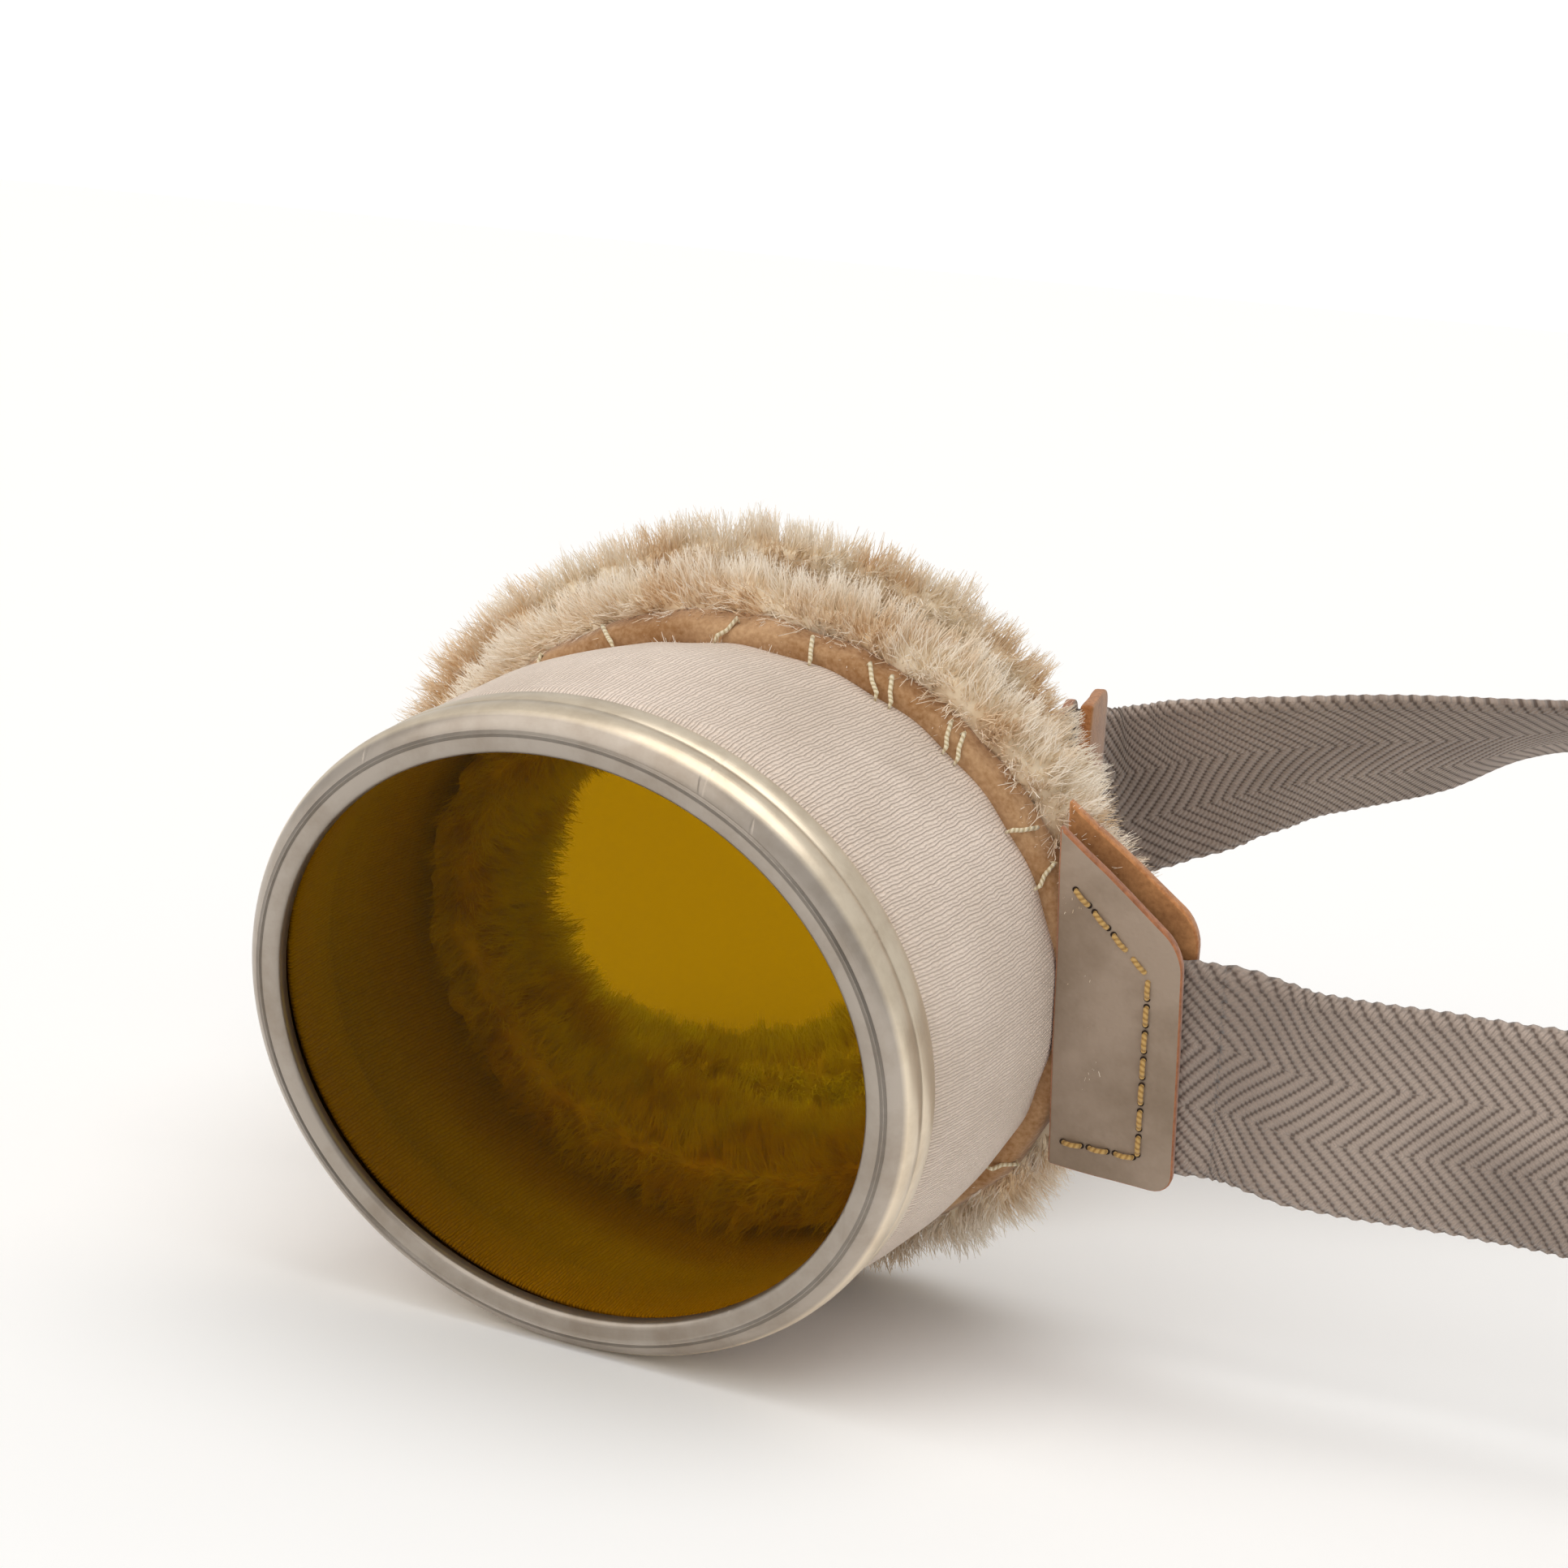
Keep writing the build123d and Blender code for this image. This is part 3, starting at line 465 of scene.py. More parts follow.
def ring(profile, half, shift=(0.0, 0.0), steps=160, radius=26.0):
    """Oval ring from a closed profile of (outwards, depth, rounding), turned about Y and made oval."""
    bm = bmesh.new()
    verts = [bm.verts.new((radius + out, depth, 0)) for out, depth, _ in profile]
    edges = [bm.edges.new(pair) for pair in zip(verts, verts[1:] + verts[:1])]
    bmesh.ops.spin(bm, geom=verts + edges, cent=(0, 0, 0), axis=(0, 1, 0), dvec=(0, 0, 0),
                   angle=math.tau, steps=steps, use_merge=True, use_normal_flip=False, use_duplicate=False)
    bmesh.ops.remove_doubles(bm, verts=bm.verts, dist=1e-4)
    for out, depth, rounding in profile:
        if rounding:
            corner = [e for e in bm.edges if all(
                abs(math.hypot(v.co.x, v.co.z) - radius - out) < 1e-3 and abs(v.co.y - depth) < 1e-3
                for v in e.verts)]
            bmesh.ops.bevel(bm, geom=corner, offset=rounding, segments=max(2, round(rounding * 3)),
                            profile=0.5, affect="EDGES", material=-1)
    bmesh.ops.recalc_face_normals(bm, faces=bm.faces)
    wrap(bm, math.tau * 30.0, radius)
    for v in bm.verts:
        out = math.hypot(v.co.x, v.co.z) - radius
        v.co = on_oval(half, out, math.atan2(v.co.z, v.co.x), v.co.y, shift)
    return bm


def wrap(bm, lap, radius):
    """UV map in millimetres: a lap round the ring, and outwards plus back along its profile."""
    layer = bm.loops.layers.uv.verify()
    for face in bm.faces:
        turns = [math.atan2(l.vert.co.z, l.vert.co.x) / math.tau % 1.0 for l in face.loops]
        high = max(turns)
        for loop, turn in zip(face.loops, turns):
            if high - turn > 0.5:
                turn += 1.0
            out = math.hypot(loop.vert.co.x, loop.vert.co.z) - radius
            loop[layer].uv = (turn * lap, out + loop.vert.co.y)


def skin(bm, layer, before, after, spans, low, high):
    """Faces from one ring of vertices to the next; UV is each side's span, from low to high."""
    for i, (left, right) in enumerate(spans):
        j = (i + 1) % len(spans)
        face = bm.faces.new((before[i], before[j], after[j], after[i]))
        for corner, uv in zip(face.loops, ((left, low), (right, low), (right, high), (left, high))):
            corner[layer].uv = uv


def tube(points, radius, sides=8, ends=0.5):
    """Thread or wire through points, tapering at its ends; UV is turns round it and mm along it."""
    bm = bmesh.new()
    layer = bm.loops.layers.uv.verify()
    points = [Vector(p) for p in points]
    spans = [(i / sides, (i + 1) / sides) for i in range(sides)]
    before = None
    side = None
    travelled = 0.0
    for index, point in enumerate(points):
        ahead = points[min(index + 1, len(points) - 1)] - points[max(index - 1, 0)]
        ahead.normalize()
        side = ahead.cross(UP if abs(ahead.z) < 0.9 else Vector((1, 0, 0))) if side is None else side
        side = (side - ahead * side.dot(ahead)).normalized()
        other = ahead.cross(side)
        size = radius * (ends if index in (0, len(points) - 1) else 1.0)
        loop = [bm.verts.new(point + (side * math.cos(a) + other * math.sin(a)) * size)
                for a in [math.tau * i / sides for i in range(sides)]]
        if before:
            step = (point - points[index - 1]).length
            skin(bm, layer, before, loop, spans, travelled, travelled + step)
            travelled += step
        before = loop
    bmesh.ops.holes_fill(bm, edges=[e for e in bm.edges if e.is_boundary], sides=sides)
    bmesh.ops.recalc_face_normals(bm, faces=bm.faces)
    return bm


def gathered(parts):
    """Several bmeshes as one."""
    whole = bmesh.new()
    whole.loops.layers.uv.verify()
    for part in parts:
        mesh = bpy.data.meshes.new("part")
        part.to_mesh(mesh)
        part.free()
        whole.from_mesh(mesh)
        bpy.data.meshes.remove(mesh)
    return whole


# ---- cups ----
def make_rims():
    """Spun rim: rolled lip, plain band with one turned line in it."""
    wall = 3.7
    profile = (
        (0.0, 1.6, 0.0), (0.0, 0.35, 0.3), (1.3, 0.0, 0.8), (wall, 0.25, 2.2), (wall, 3.25, 0.0),
        (wall - 0.12, 3.4, 0.0), (wall, 3.55, 0.0), (wall, 6.0, 0.25), (2.9, 6.0, 0.0), (2.9, 1.6, 0.0),
    )
    for side in SIDES:
        cup_piece(ring(profile, OPENING, steps=192), side, "rim_shell", "rim_metal", "rim")


def make_lenses():
    """Flat amber glass with a ground edge."""
    depth, thickness, under_lip = 1.6, 1.5, 2.6
    for side in SIDES:
        bm = bmesh.new()
        bmesh.ops.create_circle(bm, cap_ends=True, segments=160, radius=1.0)
        bmesh.ops.rotate(bm, verts=bm.verts, cent=(0, 0, 0), matrix=Matrix.Rotation(math.pi / 2, 3, "X"))
        bmesh.ops.scale(bm, vec=(OPENING[0] + under_lip, 1.0, OPENING[1] + under_lip), verts=bm.verts)
        thicken(bm, (0, thickness, 0))
        bmesh.ops.translate(bm, vec=(0, depth, 0), verts=bm.verts)
        rims = [e for e in bm.edges if abs(e.calc_face_angle(0)) > 1.0]
        bmesh.ops.bevel(bm, geom=rims, offset=0.15, segments=2, profile=0.5, affect="EDGES", material=-1)
        bmesh.ops.recalc_face_normals(bm, faces=bm.faces)
        bm.loops.layers.uv.verify()
        cup_piece(bm, side, "lens_glass", "lens_glass", "lens", smooth=False)


def sleeve_size(depth):
    """Half width, half height and shift of the sleeve at a depth."""
    for low, high in zip(SLEEVE_SECTIONS, SLEEVE_SECTIONS[1:]):
        if depth <= high[0]:
            break
    t = min(max((depth - low[0]) / (high[0] - low[0]), 0.0), 1.0)
    return [a + (b - a) * t for a, b in zip(low[1:], high[1:])]


def make_sleeves():
    """Knitted tube, wavy where the whip stitches pull it, and its hem under the clamp ring."""
    steps, rows, radius = 288, 34, 31.0
    start, end = SLEEVE_SECTIONS[0][0], SLEEVE_END + 0.8
    for side in SIDES:
        bm = bmesh.new()
        bm.loops.layers.uv.verify()
        bmesh.ops.create_circle(bm, cap_ends=False, segments=steps, radius=radius)
        bmesh.ops.rotate(bm, verts=bm.verts, cent=(0, 0, 0), matrix=Matrix.Rotation(math.pi / 2, 3, "X"))
        edges = bm.edges[:]
        for v in bm.verts:
            v.co.y = start
        for row in range(rows):
            out = bmesh.ops.extrude_edge_only(bm, edges=edges)["geom"]
            edges = [g for g in out if isinstance(g, bmesh.types.BMEdge) and g.is_boundary]
            for v in {v for e in edges for v in e.verts}:
                v.co.y = start + (end - start) * (row + 1) / rows
        wrap(bm, KNIT_PITCH * KNIT_RIBS, radius)
        for v in bm.verts:
            angle = math.atan2(v.co.z, v.co.x)
            depth = v.co.y
            wide, high, *shift = sleeve_size(depth)
            pull = math.exp(-(SLEEVE_END - depth) / 2.4) if depth < SLEEVE_END else 1.0
            soft = 0.35 * noise.noise(Vector((math.cos(angle) * 2.2, depth * 0.07, math.sin(angle) * 2.2)))
            out = soft - 0.12 * pull * math.cos(WHIPS_ROUND * angle) - 0.25 * pull
            v.co = on_oval((wide, high), out, angle, depth, shift)
        bmesh.ops.recalc_face_normals(bm, faces=bm.faces)
        face = bm.faces[0]
        middle = face.calc_center_median()
        if face.normal.dot(middle - Vector((0, middle.y, 0))) < 0:
            bmesh.ops.reverse_faces(bm, faces=bm.faces)
        bmesh.ops.solidify(bm, geom=bm.faces[:], thickness=0.9)
        piece = cup_piece(bm, side, "knit", "knit_wool", "knit_sleeve")
        profile = ((0.95, 3.3, 0.0), (0.95, 9.2, 0.0), (0.55, 9.2, 0.15), (0.55, 3.3, 0.15))
        cup_piece(ring(profile, OPENING, steps=192), side, "knit_hem", "knit_wool")


def make_hides():
    """Suede band, bulging a little between the stitches."""
    for side in SIDES:
        profile = ((-2.8, SLEEVE_END, 0.0), (0.0, SLEEVE_END - 0.2, 0.9), (0.9, SLEEVE_END + 3.0, 0.9),
                   (-2.8, SLEEVE_END + 3.0, 0.0))
        bm = ring(profile, HIDE_HALF, PAD_SHIFT, steps=240)
        for v in bm.verts:
            angle = math.atan2(v.co.z, v.co.x)
            lump = noise.noise(Vector((math.cos(angle) * 4, v.co.y * 0.3, math.sin(angle) * 4)))
            v.co.y += 0.3 * lump
            grow = 1.0 + 0.012 * lump + 0.003 * math.cos(WHIPS_ROUND * angle)
            v.co.x *= grow
            v.co.z *= grow
        cup_piece(bm, side, "hide_band", "sheepskin_suede", "sheepskin_hide")


def fleece_ring():
    """Lumpy base of the pad, in the cup's millimetres."""
    profile = ((0.6, 25.0, 1.2), (5.1, 24.8, 0.0), (5.2, 32.2, 0.0), (10.6, 32.4, 1.6), (11.2, 37.4, 2.2),
               (0.6, 37.6, 2.6))
    bm = ring(profile, FLEECE_INNER, PAD_SHIFT, steps=220, radius=24.0)
    long_edges = [e for e in bm.edges if e.calc_length() > 2.2]
    bmesh.ops.subdivide_edges(bm, edges=long_edges, cuts=2, use_grid_fill=True)
    bmesh.ops.recalc_face_normals(bm, faces=bm.faces)
    bm.normal_update()
    for v in bm.verts:
        v.co += v.normal * (noise.noise(v.co * 0.28) * 1.1 + noise.noise(v.co * 0.75) * 0.7)
    return bm


def make_fleece():
    """Woolly pad: a lumpy base and thousands of short curled fibres in locks."""
    settings = bpy.context.scene.goggles
    for number, side in enumerate(SIDES):
        bm = fleece_ring()
        fibres = wool(bm, settings.fibres, number + 3)
        matrix = cup_matrix(side)
        press_flat(bm, matrix)
        press_flat(fibres, matrix)
        base = cup_piece(bm, side, "fleece", "sheep_fleece", "fleece_pad")
        coat = cup_piece(fibres, side, "fleece_wool", "sheep_fleece", materials=("fleece_fibre",))


def press_flat(bm, matrix):
    """Wool that would reach below the floor lies on it."""
    up = matrix.inverted().to_3x3() @ UP
    clearance = 0.0003
    for v in bm.verts:
        low = clearance - (matrix @ v.co).z
        if low > 0:
            v.co += up * low


def wool(base, count, seed):
    """Ribbon fibres standing on the base, bent towards the tips of their locks."""
    random = np.random.default_rng(seed)
    base.faces.ensure_lookup_table()
    faces = [f for f in base.faces if f.calc_area() > 1e-6 and not buried(f.calc_center_median())]
    areas = np.array([f.calc_area() for f in faces])
    picks = random.choice(len(faces), count, p=areas / areas.sum())
    roots = np.zeros((count, 3))
    normals = np.zeros((count, 3))
    for index, pick in enumerate(picks):
        corners = [l.vert for l in faces[pick].loops]
        a, b = random.random(2)
        p, q, r, s = corners[0], corners[1], corners[2 % len(corners)], corners[-1]
        roots[index] = (p.co * (1 - a) + q.co * a) * (1 - b) + (s.co * (1 - a) + r.co * a) * b
        normals[index] = faces[pick].normal
    lock_count = count // FIBRES_IN_LOCK
    tree = KDTree(lock_count)
    for index in range(lock_count):
        tree.insert(roots[index], index)
    tree.balance()
    lock = np.array([tree.find(root)[1] for root in roots])
    swirl = random.normal(size=(lock_count, 3))
    reach = random.uniform(2.2, 3.4, (lock_count, 1))
    lock_tip = roots[:lock_count] + normals[:lock_count] * reach + swirl * 0.6
    length = random.uniform(1.7, 3.3, (count, 1))
    stray = random.normal(size=(count, 3))
    tips = roots + normals * length + stray * 0.5
    tips = tips * 0.66 + lock_tip[lock] * 0.34
    along = tips - roots
    side = np.cross(along, random.normal(size=(count, 3)))
    side /= np.linalg.norm(side, axis=1, keepdims=True) + 1e-9
    curl = np.cross(side, along)
    curl /= np.linalg.norm(curl, axis=1, keepdims=True) + 1e-9
    phase = random.uniform(0, math.tau, (count, 1))
    rings = []
    stations = (0.0, 0.5, 1.0)
    for t in stations:
        bend = curl * 0.45 * np.sin(phase + t * 5.0) * t + side * 0.3 * np.cos(phase + t * 4.0) * t
        middle = roots - normals * 0.25 * (1 - t) + along * t + bend
        half = 0.07 * (1.0 - 0.7 * t)
        rings.append((middle - side * half, middle + side * half))
    points = np.stack([p for pair in rings for p in pair], axis=1).reshape(-1, 3)
    quads = np.array([[2 * k, 2 * k + 1, 2 * k + 3, 2 * k + 2] for k in range(len(stations) - 1)])
    faces = (np.arange(count)[:, None, None] * 2 * len(stations) + quads[None]).reshape(-1, 4)
    mesh = bpy.data.meshes.new("wool")
    mesh.from_pydata(points.tolist(), [], faces.tolist())
    layer = mesh.uv_layers.new(name="UVMap")
    tone = random.random(count)
    value = np.zeros((count, len(stations) - 1, 4, 2))
    for k in range(len(stations) - 1):
        value[:, k, 0:2, 0] = stations[k]
        value[:, k, 2:4, 0] = stations[k + 1]
    value[..., 1] = tone[:, None, None]
    layer.data.foreach_set("uv", value.reshape(-1))
    bm = bmesh.new()
    bm.from_mesh(mesh)
    bpy.data.meshes.remove(mesh)
    return bm


def buried(point):
    """True where the base lies against the hide or the sleeve."""
    wide, high = 29.8, 26.2
    away = math.hypot((point.x - PAD_SHIFT[0]) / wide, (point.z - PAD_SHIFT[1]) / high)
    return point.y < 32.5 and 0.97 < away < 1.12


def make_whips():
    """Slanting whip stitches over the seam, some in pairs side by side."""
    # where each stitch starts, its slant, both in degrees, and how many more lie beside it
    stitches = ((131, -3, 0), (112, 3, 0), (93, -3, 0), (76, 3, 0), (61, 4, 1), (47, 4, 1), (33, -3, 0),
                (22, 3, 0), (150, 3, 0), (172, -3, 0), (203, 3, 0), (228, -3, 0), (252, 3, 0), (277, -3, 0),
                (302, 3, 0), (-36, 3, 0))
    # share of the way, distance off the hide, and depth from the sleeve's end
    path = ((0.0, -0.5, -1.1), (0.12, 0.15, -0.85), (0.5, 0.5, -0.1), (0.88, 0.7, 0.7), (1.0, -0.2, 1.0))
    for number, side in enumerate(SIDES):
        random = np.random.default_rng(11 + number)
        parts = []
        for turn, slant, twins in stitches:
            for extra in range(twins + 1):
                start = math.radians(turn + extra * 2.6)
                end = start + math.radians(slant + random.uniform(-1, 1))
                points = [on_oval(HIDE_HALF, lift - 0.8 * (depth < 0), start + (end - start) * t,
                                  SLEEVE_END + depth, PAD_SHIFT) for t, lift, depth in path]
                parts.append(tube(points, 0.21))
        cup_piece(gathered(parts), side, "whip_threads", "whip_thread", "whip_stitches")


# ---- temple tabs ----
def tab_matrix(tab, offset):
    """Takes the tab's own plane (x outwards, y up, z away from the face) to the cup's millimetres."""
    turn = math.radians(tab["turn"])
    along = Vector((math.cos(turn), math.sin(turn), 0))
    inwards = Vector((-math.sin(turn), math.cos(turn), 0))
    origin = Vector((*tab["foot"], 0)) + inwards * offset
    return Matrix.Translation(origin) @ Matrix((along, UP, -inwards)).transposed().to_4x4()


def tab_leather(tab, offset, thickness, peek, rounding):
    """One leather of the tab, with cut edges of their own material, laid out in the cup's millimetres."""
    bm = bmesh.new()
    drop, rise = tab["drop"], tab["rise"]
    corners = ((-0.4, -TAB_BASE_HALF + rise), (TAB_LENGTH, -TAB_END_HALF - drop),
               (TAB_LENGTH + peek * 0.6, TAB_END_HALF - drop + peek), (-0.4, TAB_BASE_HALF + rise + peek))
    verts = [bm.verts.new((x, y, 0)) for x, y in corners]
    bm.faces.new(verts)
    bmesh.ops.bevel(bm, geom=verts[1:3], offset=2.0, segments=6, profile=0.5, affect="VERTICES", material=-1)
    thicken(bm, (0, 0, -thickness))
    bmesh.ops.recalc_face_normals(bm, faces=bm.faces)
    for face in bm.faces:
        face.material_index = 0 if abs(face.normal.z) > 0.5 else 1
    sharp = [e for e in bm.edges if e.calc_face_angle(0) > 1.0]
    bmesh.ops.bevel(bm, geom=sharp, offset=rounding, segments=3, profile=0.5, affect="EDGES", material=-1)
    cuts = [((0, -24 + cut * 4.0, 0), (0, 1, 0)) for cut in range(1, 12)]
    cuts += [((cut * 1.9, 0, 0), (1, 0, 0)) for cut in range(1, 6)]
    for spot, facing in cuts:
        whole = bm.verts[:] + bm.edges[:] + bm.faces[:]
        bmesh.ops.bisect_plane(bm, geom=whole, plane_co=spot, plane_no=facing)
    for v in bm.verts:
        wave = noise.noise(Vector((v.co.x * 0.16, v.co.y * 0.11, 2.0)))
        v.co.z += 0.35 * wave - 0.02 * (v.co.y / 8) ** 2
    bm.loops.layers.uv.verify()
    bm.transform(tab_matrix(tab, offset))
    return bm


def seam_points(tab):
    """Corners of the tab's seam in its own plane."""
    drop, rise = tab["drop"], tab["rise"]
    return ((0.9, TAB_BASE_HALF + rise - 5.2), (TAB_LENGTH - 2.9, TAB_END_HALF - drop - 2.6),
            (TAB_LENGTH - 3.1, -TAB_END_HALF - drop + 3.4), (0.6, -TAB_BASE_HALF + rise + 2.4))


def make_tabs():
    """Outer and inner leathers, the seam's threads and its needle holes."""
    stitch, cover, lining = 2.35, 1.2, 1.4
    sunk, laid, top, flush = (Vector((0, 0, z)) for z in (-0.35, 0.2, 0.33, 0.03))
    for side in SIDES:
        tab = TABS[side]
        cup_piece(tab_leather(tab, 0.0, cover, 0.0, 0.3), side, "tab_cover", "tab_leather",
                  "tab_outer_leather", materials=("tab_leather", "tab_edge"))
        cup_piece(tab_leather(tab, 2.8, lining, 1.3, 0.35), side, "tab_lining", "tab_suede",
                  "tab_inner_leather", materials=("tab_suede", "skin_edge"))
        threads, holes = [], []
        plane = tab_matrix(tab, 0.0)
        corners = [Vector((x, y, 0)) for x, y in seam_points(tab)]
        for start, end in zip(corners, corners[1:]):
            run = end - start
            count = round(run.length / stitch)
            step = run / count
            lean = run.normalized() * 0.12
            for index in range(count):
                first = start + step * (index + 0.16)
                last = start + step * (index + 0.86)
                points = (first + sunk, first + lean + laid, (first + last) / 2 + top, last - lean + laid,
                          last + sunk)
                threads.append(tube([plane @ p for p in points], 0.24, 8, 0.8))
                for spot in (first, last):
                    hole = bmesh.new()
                    bmesh.ops.create_circle(hole, cap_ends=True, segments=10, radius=0.3)
                    hole.transform(plane @ Matrix.Translation(spot + flush))
                    hole.loops.layers.uv.verify()
                    holes.append(hole)
        cup_piece(gathered(threads), side, "tab_threads", "tab_thread", "tab_stitches")
        cup_piece(gathered(holes), side, "tab_needle_holes", "tab_thread", materials=("hole",))


# ---- webbing ----
def smooth_route(points):
    """Stations along a smooth curve through the points."""
    rows = np.array(points, float)
    gaps = np.linalg.norm(np.diff(rows[:, :3], axis=0), axis=1)
    slopes = np.gradient(rows, np.concatenate(([0.0], np.cumsum(gaps))), axis=0)
    stations = [tuple(rows[0])]
    for index, gap in enumerate(gaps):
        steps = max(2, round(gap / STATION_STEP))
        for t in np.arange(1, steps + 1) / steps:
            stations.append(tuple(
                rows[index] * (2 * t ** 3 - 3 * t ** 2 + 1) + rows[index + 1] * (3 * t ** 2 - 2 * t ** 3)
                + slopes[index] * gap * (t ** 3 - 2 * t ** 2 + t) + slopes[index + 1] * gap * (t ** 3 - t ** 2)))
    return stations


def past_tab(side, distance):
    """The webbing's middle a distance past its tab's end, in the cup's millimetres."""
    tab = TABS[side]
    return tab_matrix(tab, 2.0) @ Vector((TAB_LENGTH + distance, -tab["drop"], 0))


def strap_lead(side):
    """First stations of the webbing, in line with its tab."""
    to_part = part_matrix().inverted() @ cup_matrix(side)
    lean = (TABS[side]["lean"],)
    return tuple(tuple(to_part @ past_tab(side, distance)) + lean for distance in STRAP_LEAD)


def webbing(stations, first, last):
    """Woven tape between two of the stations: thick selvedges, scalloped by the weft; UV in mm."""
    bm = bmesh.new()
    layer = bm.loops.layers.uv.verify()
    half = STRAP_WIDTH / 2
    across, selvedge = 22, 1.4
    section = []
    for index in range(across + 1):
        w = -half + STRAP_WIDTH * index / across
        bulk = 0.92 + 0.12 * (abs(w) > half - selvedge)
        section.append((w, STRAP_THICKNESS / 2 * bulk * (1.0 if abs(w) < half - 0.1 else 0.45)))
    outline = section + [(w, -t) for w, t in reversed(section)]
    spans = [(a[0] + half, b[0] + half) for a, b in zip(outline, outline[1:] + outline[:1])]
    before = None
    travelled = 0.0
    for index, (x, y, z, lean) in enumerate(stations):
        here = Vector((x, y, z))
        step = (here - Vector(stations[max(index - 1, 0)][:3])).length
        travelled += step
        if not first <= index <= last:
            continue
        low = Vector(stations[max(index - 1, 0)][:3])
        high = Vector(stations[min(index + 1, len(stations) - 1)][:3])
        along = (high - low).normalized()
        face = along.cross(UP).normalized()
        upright = face.cross(along)
        turn = math.radians(lean)
        outwards = face * math.cos(turn) - upright * math.sin(turn)
        top = upright * math.cos(turn) + face * math.sin(turn)
        loop = []
        for w, t in outline:
            edge = 1.0 + 0.012 * noise.noise(Vector((travelled * 0.35, math.copysign(3.0, w), 0.0)))
            scallop = 0.12 * math.sin(travelled * math.tau / WEFT_PITCH) * (abs(w) > half - 1.0)
            scallop *= math.copysign(1.0, w)
            loop.append(bm.verts.new(here + top * (w * edge + scallop) + outwards * t))
        if before:
            skin(bm, layer, before, loop, spans, travelled - step, travelled)
        before = loop
    bmesh.ops.holes_fill(bm, edges=[e for e in bm.edges if e.is_boundary], sides=0)
    bmesh.ops.recalc_face_normals(bm, faces=bm.faces)
    return bm


def tuck(stations, reach=6.0):
    """Adds stations that carry the webbing straight back into its tab."""
    first, second = Vector(stations[0][:3]), Vector(stations[1][:3])
    back = (first - second).normalized() * reach
    lean = (stations[0][3],)
    return [tuple(first + back * ((TUCKED - k) / TUCKED)) + lean for k in range(TUCKED)] + stations


def lay_webbing(stations, side):
    """A root from inside its tab to a little past it, riding on no body, and the rest of the webbing in line
    with it, riding on the strap.
    """
    stations = tuck(stations)
    lead = STRAP_LEAD[-1] - STRAP_LEAD[0] - 0.2
    seam = next(index for index, station in enumerate(stations)
                if index > TUCKED and math.dist(station[:3], stations[TUCKED][:3]) > lead)
    root = finish_piece(webbing(stations, 0, seam), f"{side}_webbing_root", part_matrix(), None,
                        "strap_webbing", (f"{side}_webbing_end",))
    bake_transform(root)
    finish_piece(webbing(stations, seam, len(stations) - 1), f"{side}_webbing", part_matrix(),
                 f"{side}_strap", "strap_webbing", (f"{side}_strap",))


def straight(start, end, count):
    """Stations of a straight run, after its start."""
    return [tuple(start.lerp(end, k / count)) + (0.0,) for k in range(1, count + 1)]


def make_straps():
    """The two webbings, from inside their tabs to the press stud."""
    start, end = (Vector(point[:3]) for point in LEFT_STRAP_ROUTE[-2:])
    bend = smooth_route(strap_lead("left") + LEFT_STRAP_ROUTE[:-1])
    lay_webbing(bend + straight(start, end, 150), "left")
    along = (end - start).normalized()
    lap_start = end - along.cross(UP).normalized() * (STRAP_THICKNESS + LAP_GAP)
    route = smooth_route(strap_lead("right") + RIGHT_STRAP_ROUTE + (tuple(lap_start) + (0.0,),))
    lay_webbing(route + straight(lap_start, lap_start - along * STRAP_LAP, 68), "right")


def dress_frame():
    """Gives the carried-over metal and leather pieces their materials."""
    slots = {
        "spring_ring": "ring_steel", "clamp_ring": "ring_steel", "nose_loop": "ring_steel",
        "nose_keeper": "bridge_leather", "nose_bridge": "bridge_leather",
        "bridge_rivets": "stud_metal", "stud": "stud_metal", "stud_socket": "stud_metal",
        "socket_cap": "stud_metal", "adjuster_slide": "stud_metal",
    }
    for name, node in frame["nodes"].items():
        key = slots.get(name.replace("left_", "").replace("right_", ""))
        if key and not node.hide_render:
            node.data.materials.clear()
            node.data.materials.append(finish_of(key))


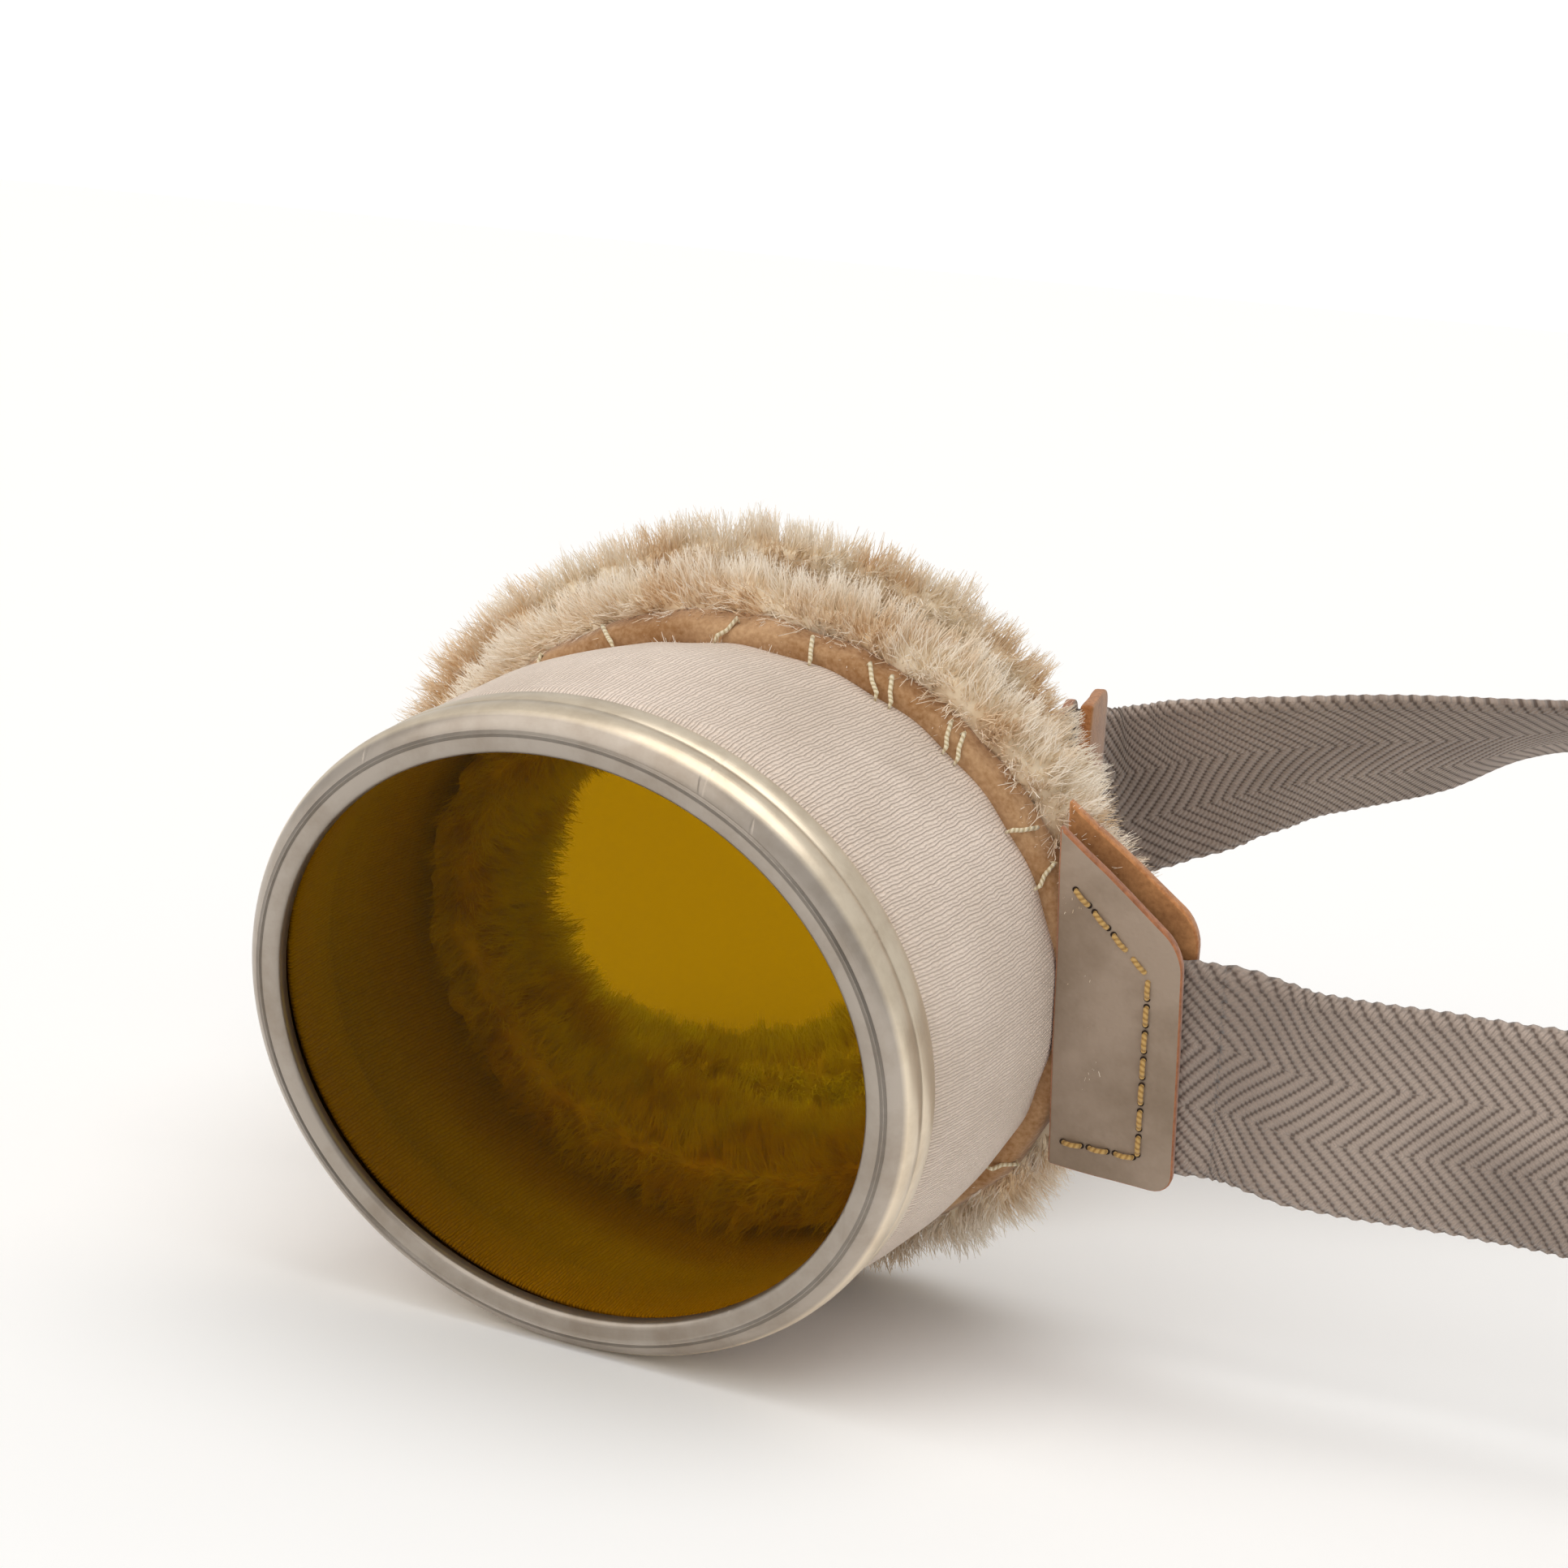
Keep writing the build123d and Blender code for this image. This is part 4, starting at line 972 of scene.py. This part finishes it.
# ---- stage ----
def make_stage():
    """Pale floor, soft lamps and the camera."""
    settings = bpy.context.scene.goggles
    bm = bmesh.new()
    bmesh.ops.create_grid(bm, x_segments=2, y_segments=2, size=12.0)
    mesh = bpy.data.meshes.new("floor")
    bm.to_mesh(mesh)
    bm.free()
    floor = new_object("floor", mesh)
    mesh.materials.append(surface("white_paper", Base_Color=linear("#FFFFFF"), Roughness=1.0,
                                  Specular_IOR_Level=0.0)[0])
    world = bpy.data.worlds.new("studio")
    world.use_nodes = True
    sky = world.node_tree
    # the camera sees the surroundings as white paper, and everything else is lit by them less
    seen = add(sky, "LightPath").outputs["Is Camera Ray"]
    strength = add(sky, "MapRange", {"Value": seen, "To Min": settings.room_light, "To Max": 1.1})
    feed(sky, sky.nodes["Background"], {"Color": (1.0, 0.99, 0.975, 1.0), "Strength": strength})
    bpy.context.scene.world = world
    to_row = cup_matrix("left")
    aim = to_row @ Vector((0, 30, 0))
    for name, place, spread, power, tone in (
            ("window", (-300, -330, 520), 70.0, settings.key_light, (1.0, 0.975, 0.94)),
            ("ceiling", (120, 160, 620), 50.0, settings.key_light * 0.8, (1.0, 0.985, 0.96))):
        lamp = bpy.data.lights.new(name, "SUN")
        lamp.angle = math.radians(spread)
        lamp.energy = power
        lamp.color = tone
        holder = new_object(name, lamp)
        holder.location = to_row @ Vector(place)
        holder.rotation_euler = (aim - holder.location).to_track_quat("-Z", "Y").to_euler()
    camera = bpy.data.cameras.new("camera")
    camera.lens = settings.camera_lens
    camera.sensor_width = 36.0
    camera.clip_start = 0.01
    holder = new_object("camera", camera)
    azimuth, elevation, roll = (math.radians(a) for a in (26.8, 19.8, 0.4))
    back = Vector((math.sin(azimuth) * math.cos(elevation), -math.cos(azimuth) * math.cos(elevation),
                   math.sin(elevation)))
    right = Vector((math.cos(azimuth), math.sin(azimuth), 0))
    above = back.cross(right)
    right, above = (right * math.cos(roll) + above * math.sin(roll),
                    above * math.cos(roll) - right * math.sin(roll))
    turned = Matrix((right, above, back)).transposed().to_4x4()
    turned.translation = Vector((123.72, -203.26, 108.68))
    place, turn, _ = (to_row @ turned).decompose()
    holder.location = place
    holder.rotation_euler = turn.to_euler()
    bpy.context.scene.camera = holder
    bpy.context.scene.view_settings.view_transform = "Standard"


# ---- add-on ----
class GogglesSettings(bpy.types.PropertyGroup):
    """Sizes and colours that a user may change."""
    rim: StringProperty(name="Rim", description="Colour of the rims' band", default="#F2E3CB")
    lens: StringProperty(name="Lens", description="Tint of the glass", default="#C8AC00")
    knit: StringProperty(name="Knit", description="Colour of the knitted sleeves", default="#F8E6D6")
    suede: StringProperty(name="Suede", description="Colour of the sheepskin's band", default="#C7A077")
    fleece: StringProperty(name="Fleece", description="Colour of the wool's tips", default="#FFF6E8")
    tab: StringProperty(name="Tab", description="Colour of the tabs' coated leather", default="#A4917F")
    strap: StringProperty(name="Strap", description="Colour of the webbing", default="#B8A699")
    fibres: IntProperty(name="Fibres", description="Wool fibres on each pad", default=75000, min=1000,
                        max=120000)
    room_light: FloatProperty(name="Room light", description="Strength of the white surroundings",
                              default=0.5, min=0.0)
    key_light: FloatProperty(name="Window", description="Strength of the main soft lamp", default=1.15,
                             min=0.0)
    camera_lens: FloatProperty(name="Lens", description="Focal length of the camera", default=72.0,
                               min=10.0, unit="CAMERA")


class GOGGLES_OT_rims(bpy.types.Operator):
    """Make the spun rims"""
    bl_idname = "goggles.rims"
    bl_label = "Rims"

    def execute(self, context):
        make_rims()
        return {"FINISHED"}


class GOGGLES_OT_lenses(bpy.types.Operator):
    """Make the amber lenses"""
    bl_idname = "goggles.lenses"
    bl_label = "Lenses"

    def execute(self, context):
        make_lenses()
        return {"FINISHED"}


class GOGGLES_OT_sleeves(bpy.types.Operator):
    """Make the knitted sleeves"""
    bl_idname = "goggles.sleeves"
    bl_label = "Knitted sleeves"

    def execute(self, context):
        make_sleeves()
        return {"FINISHED"}


class GOGGLES_OT_hides(bpy.types.Operator):
    """Make the suede bands"""
    bl_idname = "goggles.hides"
    bl_label = "Suede bands"

    def execute(self, context):
        make_hides()
        return {"FINISHED"}


class GOGGLES_OT_fleece(bpy.types.Operator):
    """Make the woolly pads"""
    bl_idname = "goggles.fleece"
    bl_label = "Fleece pads"

    def execute(self, context):
        make_fleece()
        return {"FINISHED"}


class GOGGLES_OT_whips(bpy.types.Operator):
    """Make the whip stitches"""
    bl_idname = "goggles.whips"
    bl_label = "Whip stitches"

    def execute(self, context):
        make_whips()
        return {"FINISHED"}


class GOGGLES_OT_tabs(bpy.types.Operator):
    """Make the temple tabs and their seams"""
    bl_idname = "goggles.tabs"
    bl_label = "Temple tabs"

    def execute(self, context):
        make_tabs()
        return {"FINISHED"}


class GOGGLES_OT_straps(bpy.types.Operator):
    """Make the herringbone webbing"""
    bl_idname = "goggles.straps"
    bl_label = "Webbing"

    def execute(self, context):
        make_straps()
        return {"FINISHED"}


class GOGGLES_OT_frame(bpy.types.Operator):
    """Give the carried-over pieces their materials"""
    bl_idname = "goggles.dress_frame"
    bl_label = "Metal and leather of the frame"

    def execute(self, context):
        dress_frame()
        return {"FINISHED"}


class GOGGLES_OT_stage(bpy.types.Operator):
    """Make the floor, the lamps and the camera"""
    bl_idname = "goggles.stage"
    bl_label = "Stage"

    def execute(self, context):
        make_stage()
        return {"FINISHED"}


OPERATORS = (GOGGLES_OT_stage, GOGGLES_OT_rims, GOGGLES_OT_lenses, GOGGLES_OT_sleeves, GOGGLES_OT_hides,
             GOGGLES_OT_fleece, GOGGLES_OT_whips, GOGGLES_OT_tabs, GOGGLES_OT_straps, GOGGLES_OT_frame)


class GOGGLES_PT_panel(bpy.types.Panel):
    """Settings and pieces of the goggles"""
    bl_label = "Goggles"
    bl_idname = "GOGGLES_PT_panel"
    bl_space_type = "VIEW_3D"
    bl_region_type = "UI"
    bl_category = "Goggles"

    def draw(self, context):
        settings = context.scene.goggles
        for name in GogglesSettings.__annotations__:
            self.layout.prop(settings, name)
        for operator in OPERATORS:
            self.layout.operator(operator.bl_idname)


CLASSES = (GogglesSettings,) + OPERATORS + (GOGGLES_PT_panel,)


def register():
    for cls in CLASSES:
        bpy.utils.register_class(cls)
    bpy.types.Scene.goggles = PointerProperty(type=GogglesSettings)


def unregister():
    del bpy.types.Scene.goggles
    for cls in reversed(CLASSES):
        bpy.utils.unregister_class(cls)


def main():
    """Builds the stage and every piece."""
    register()
    for operator in OPERATORS:
        group, name = operator.bl_idname.split(".")
        getattr(getattr(bpy.ops, group), name)()


if __name__ == "__main__":
    main()
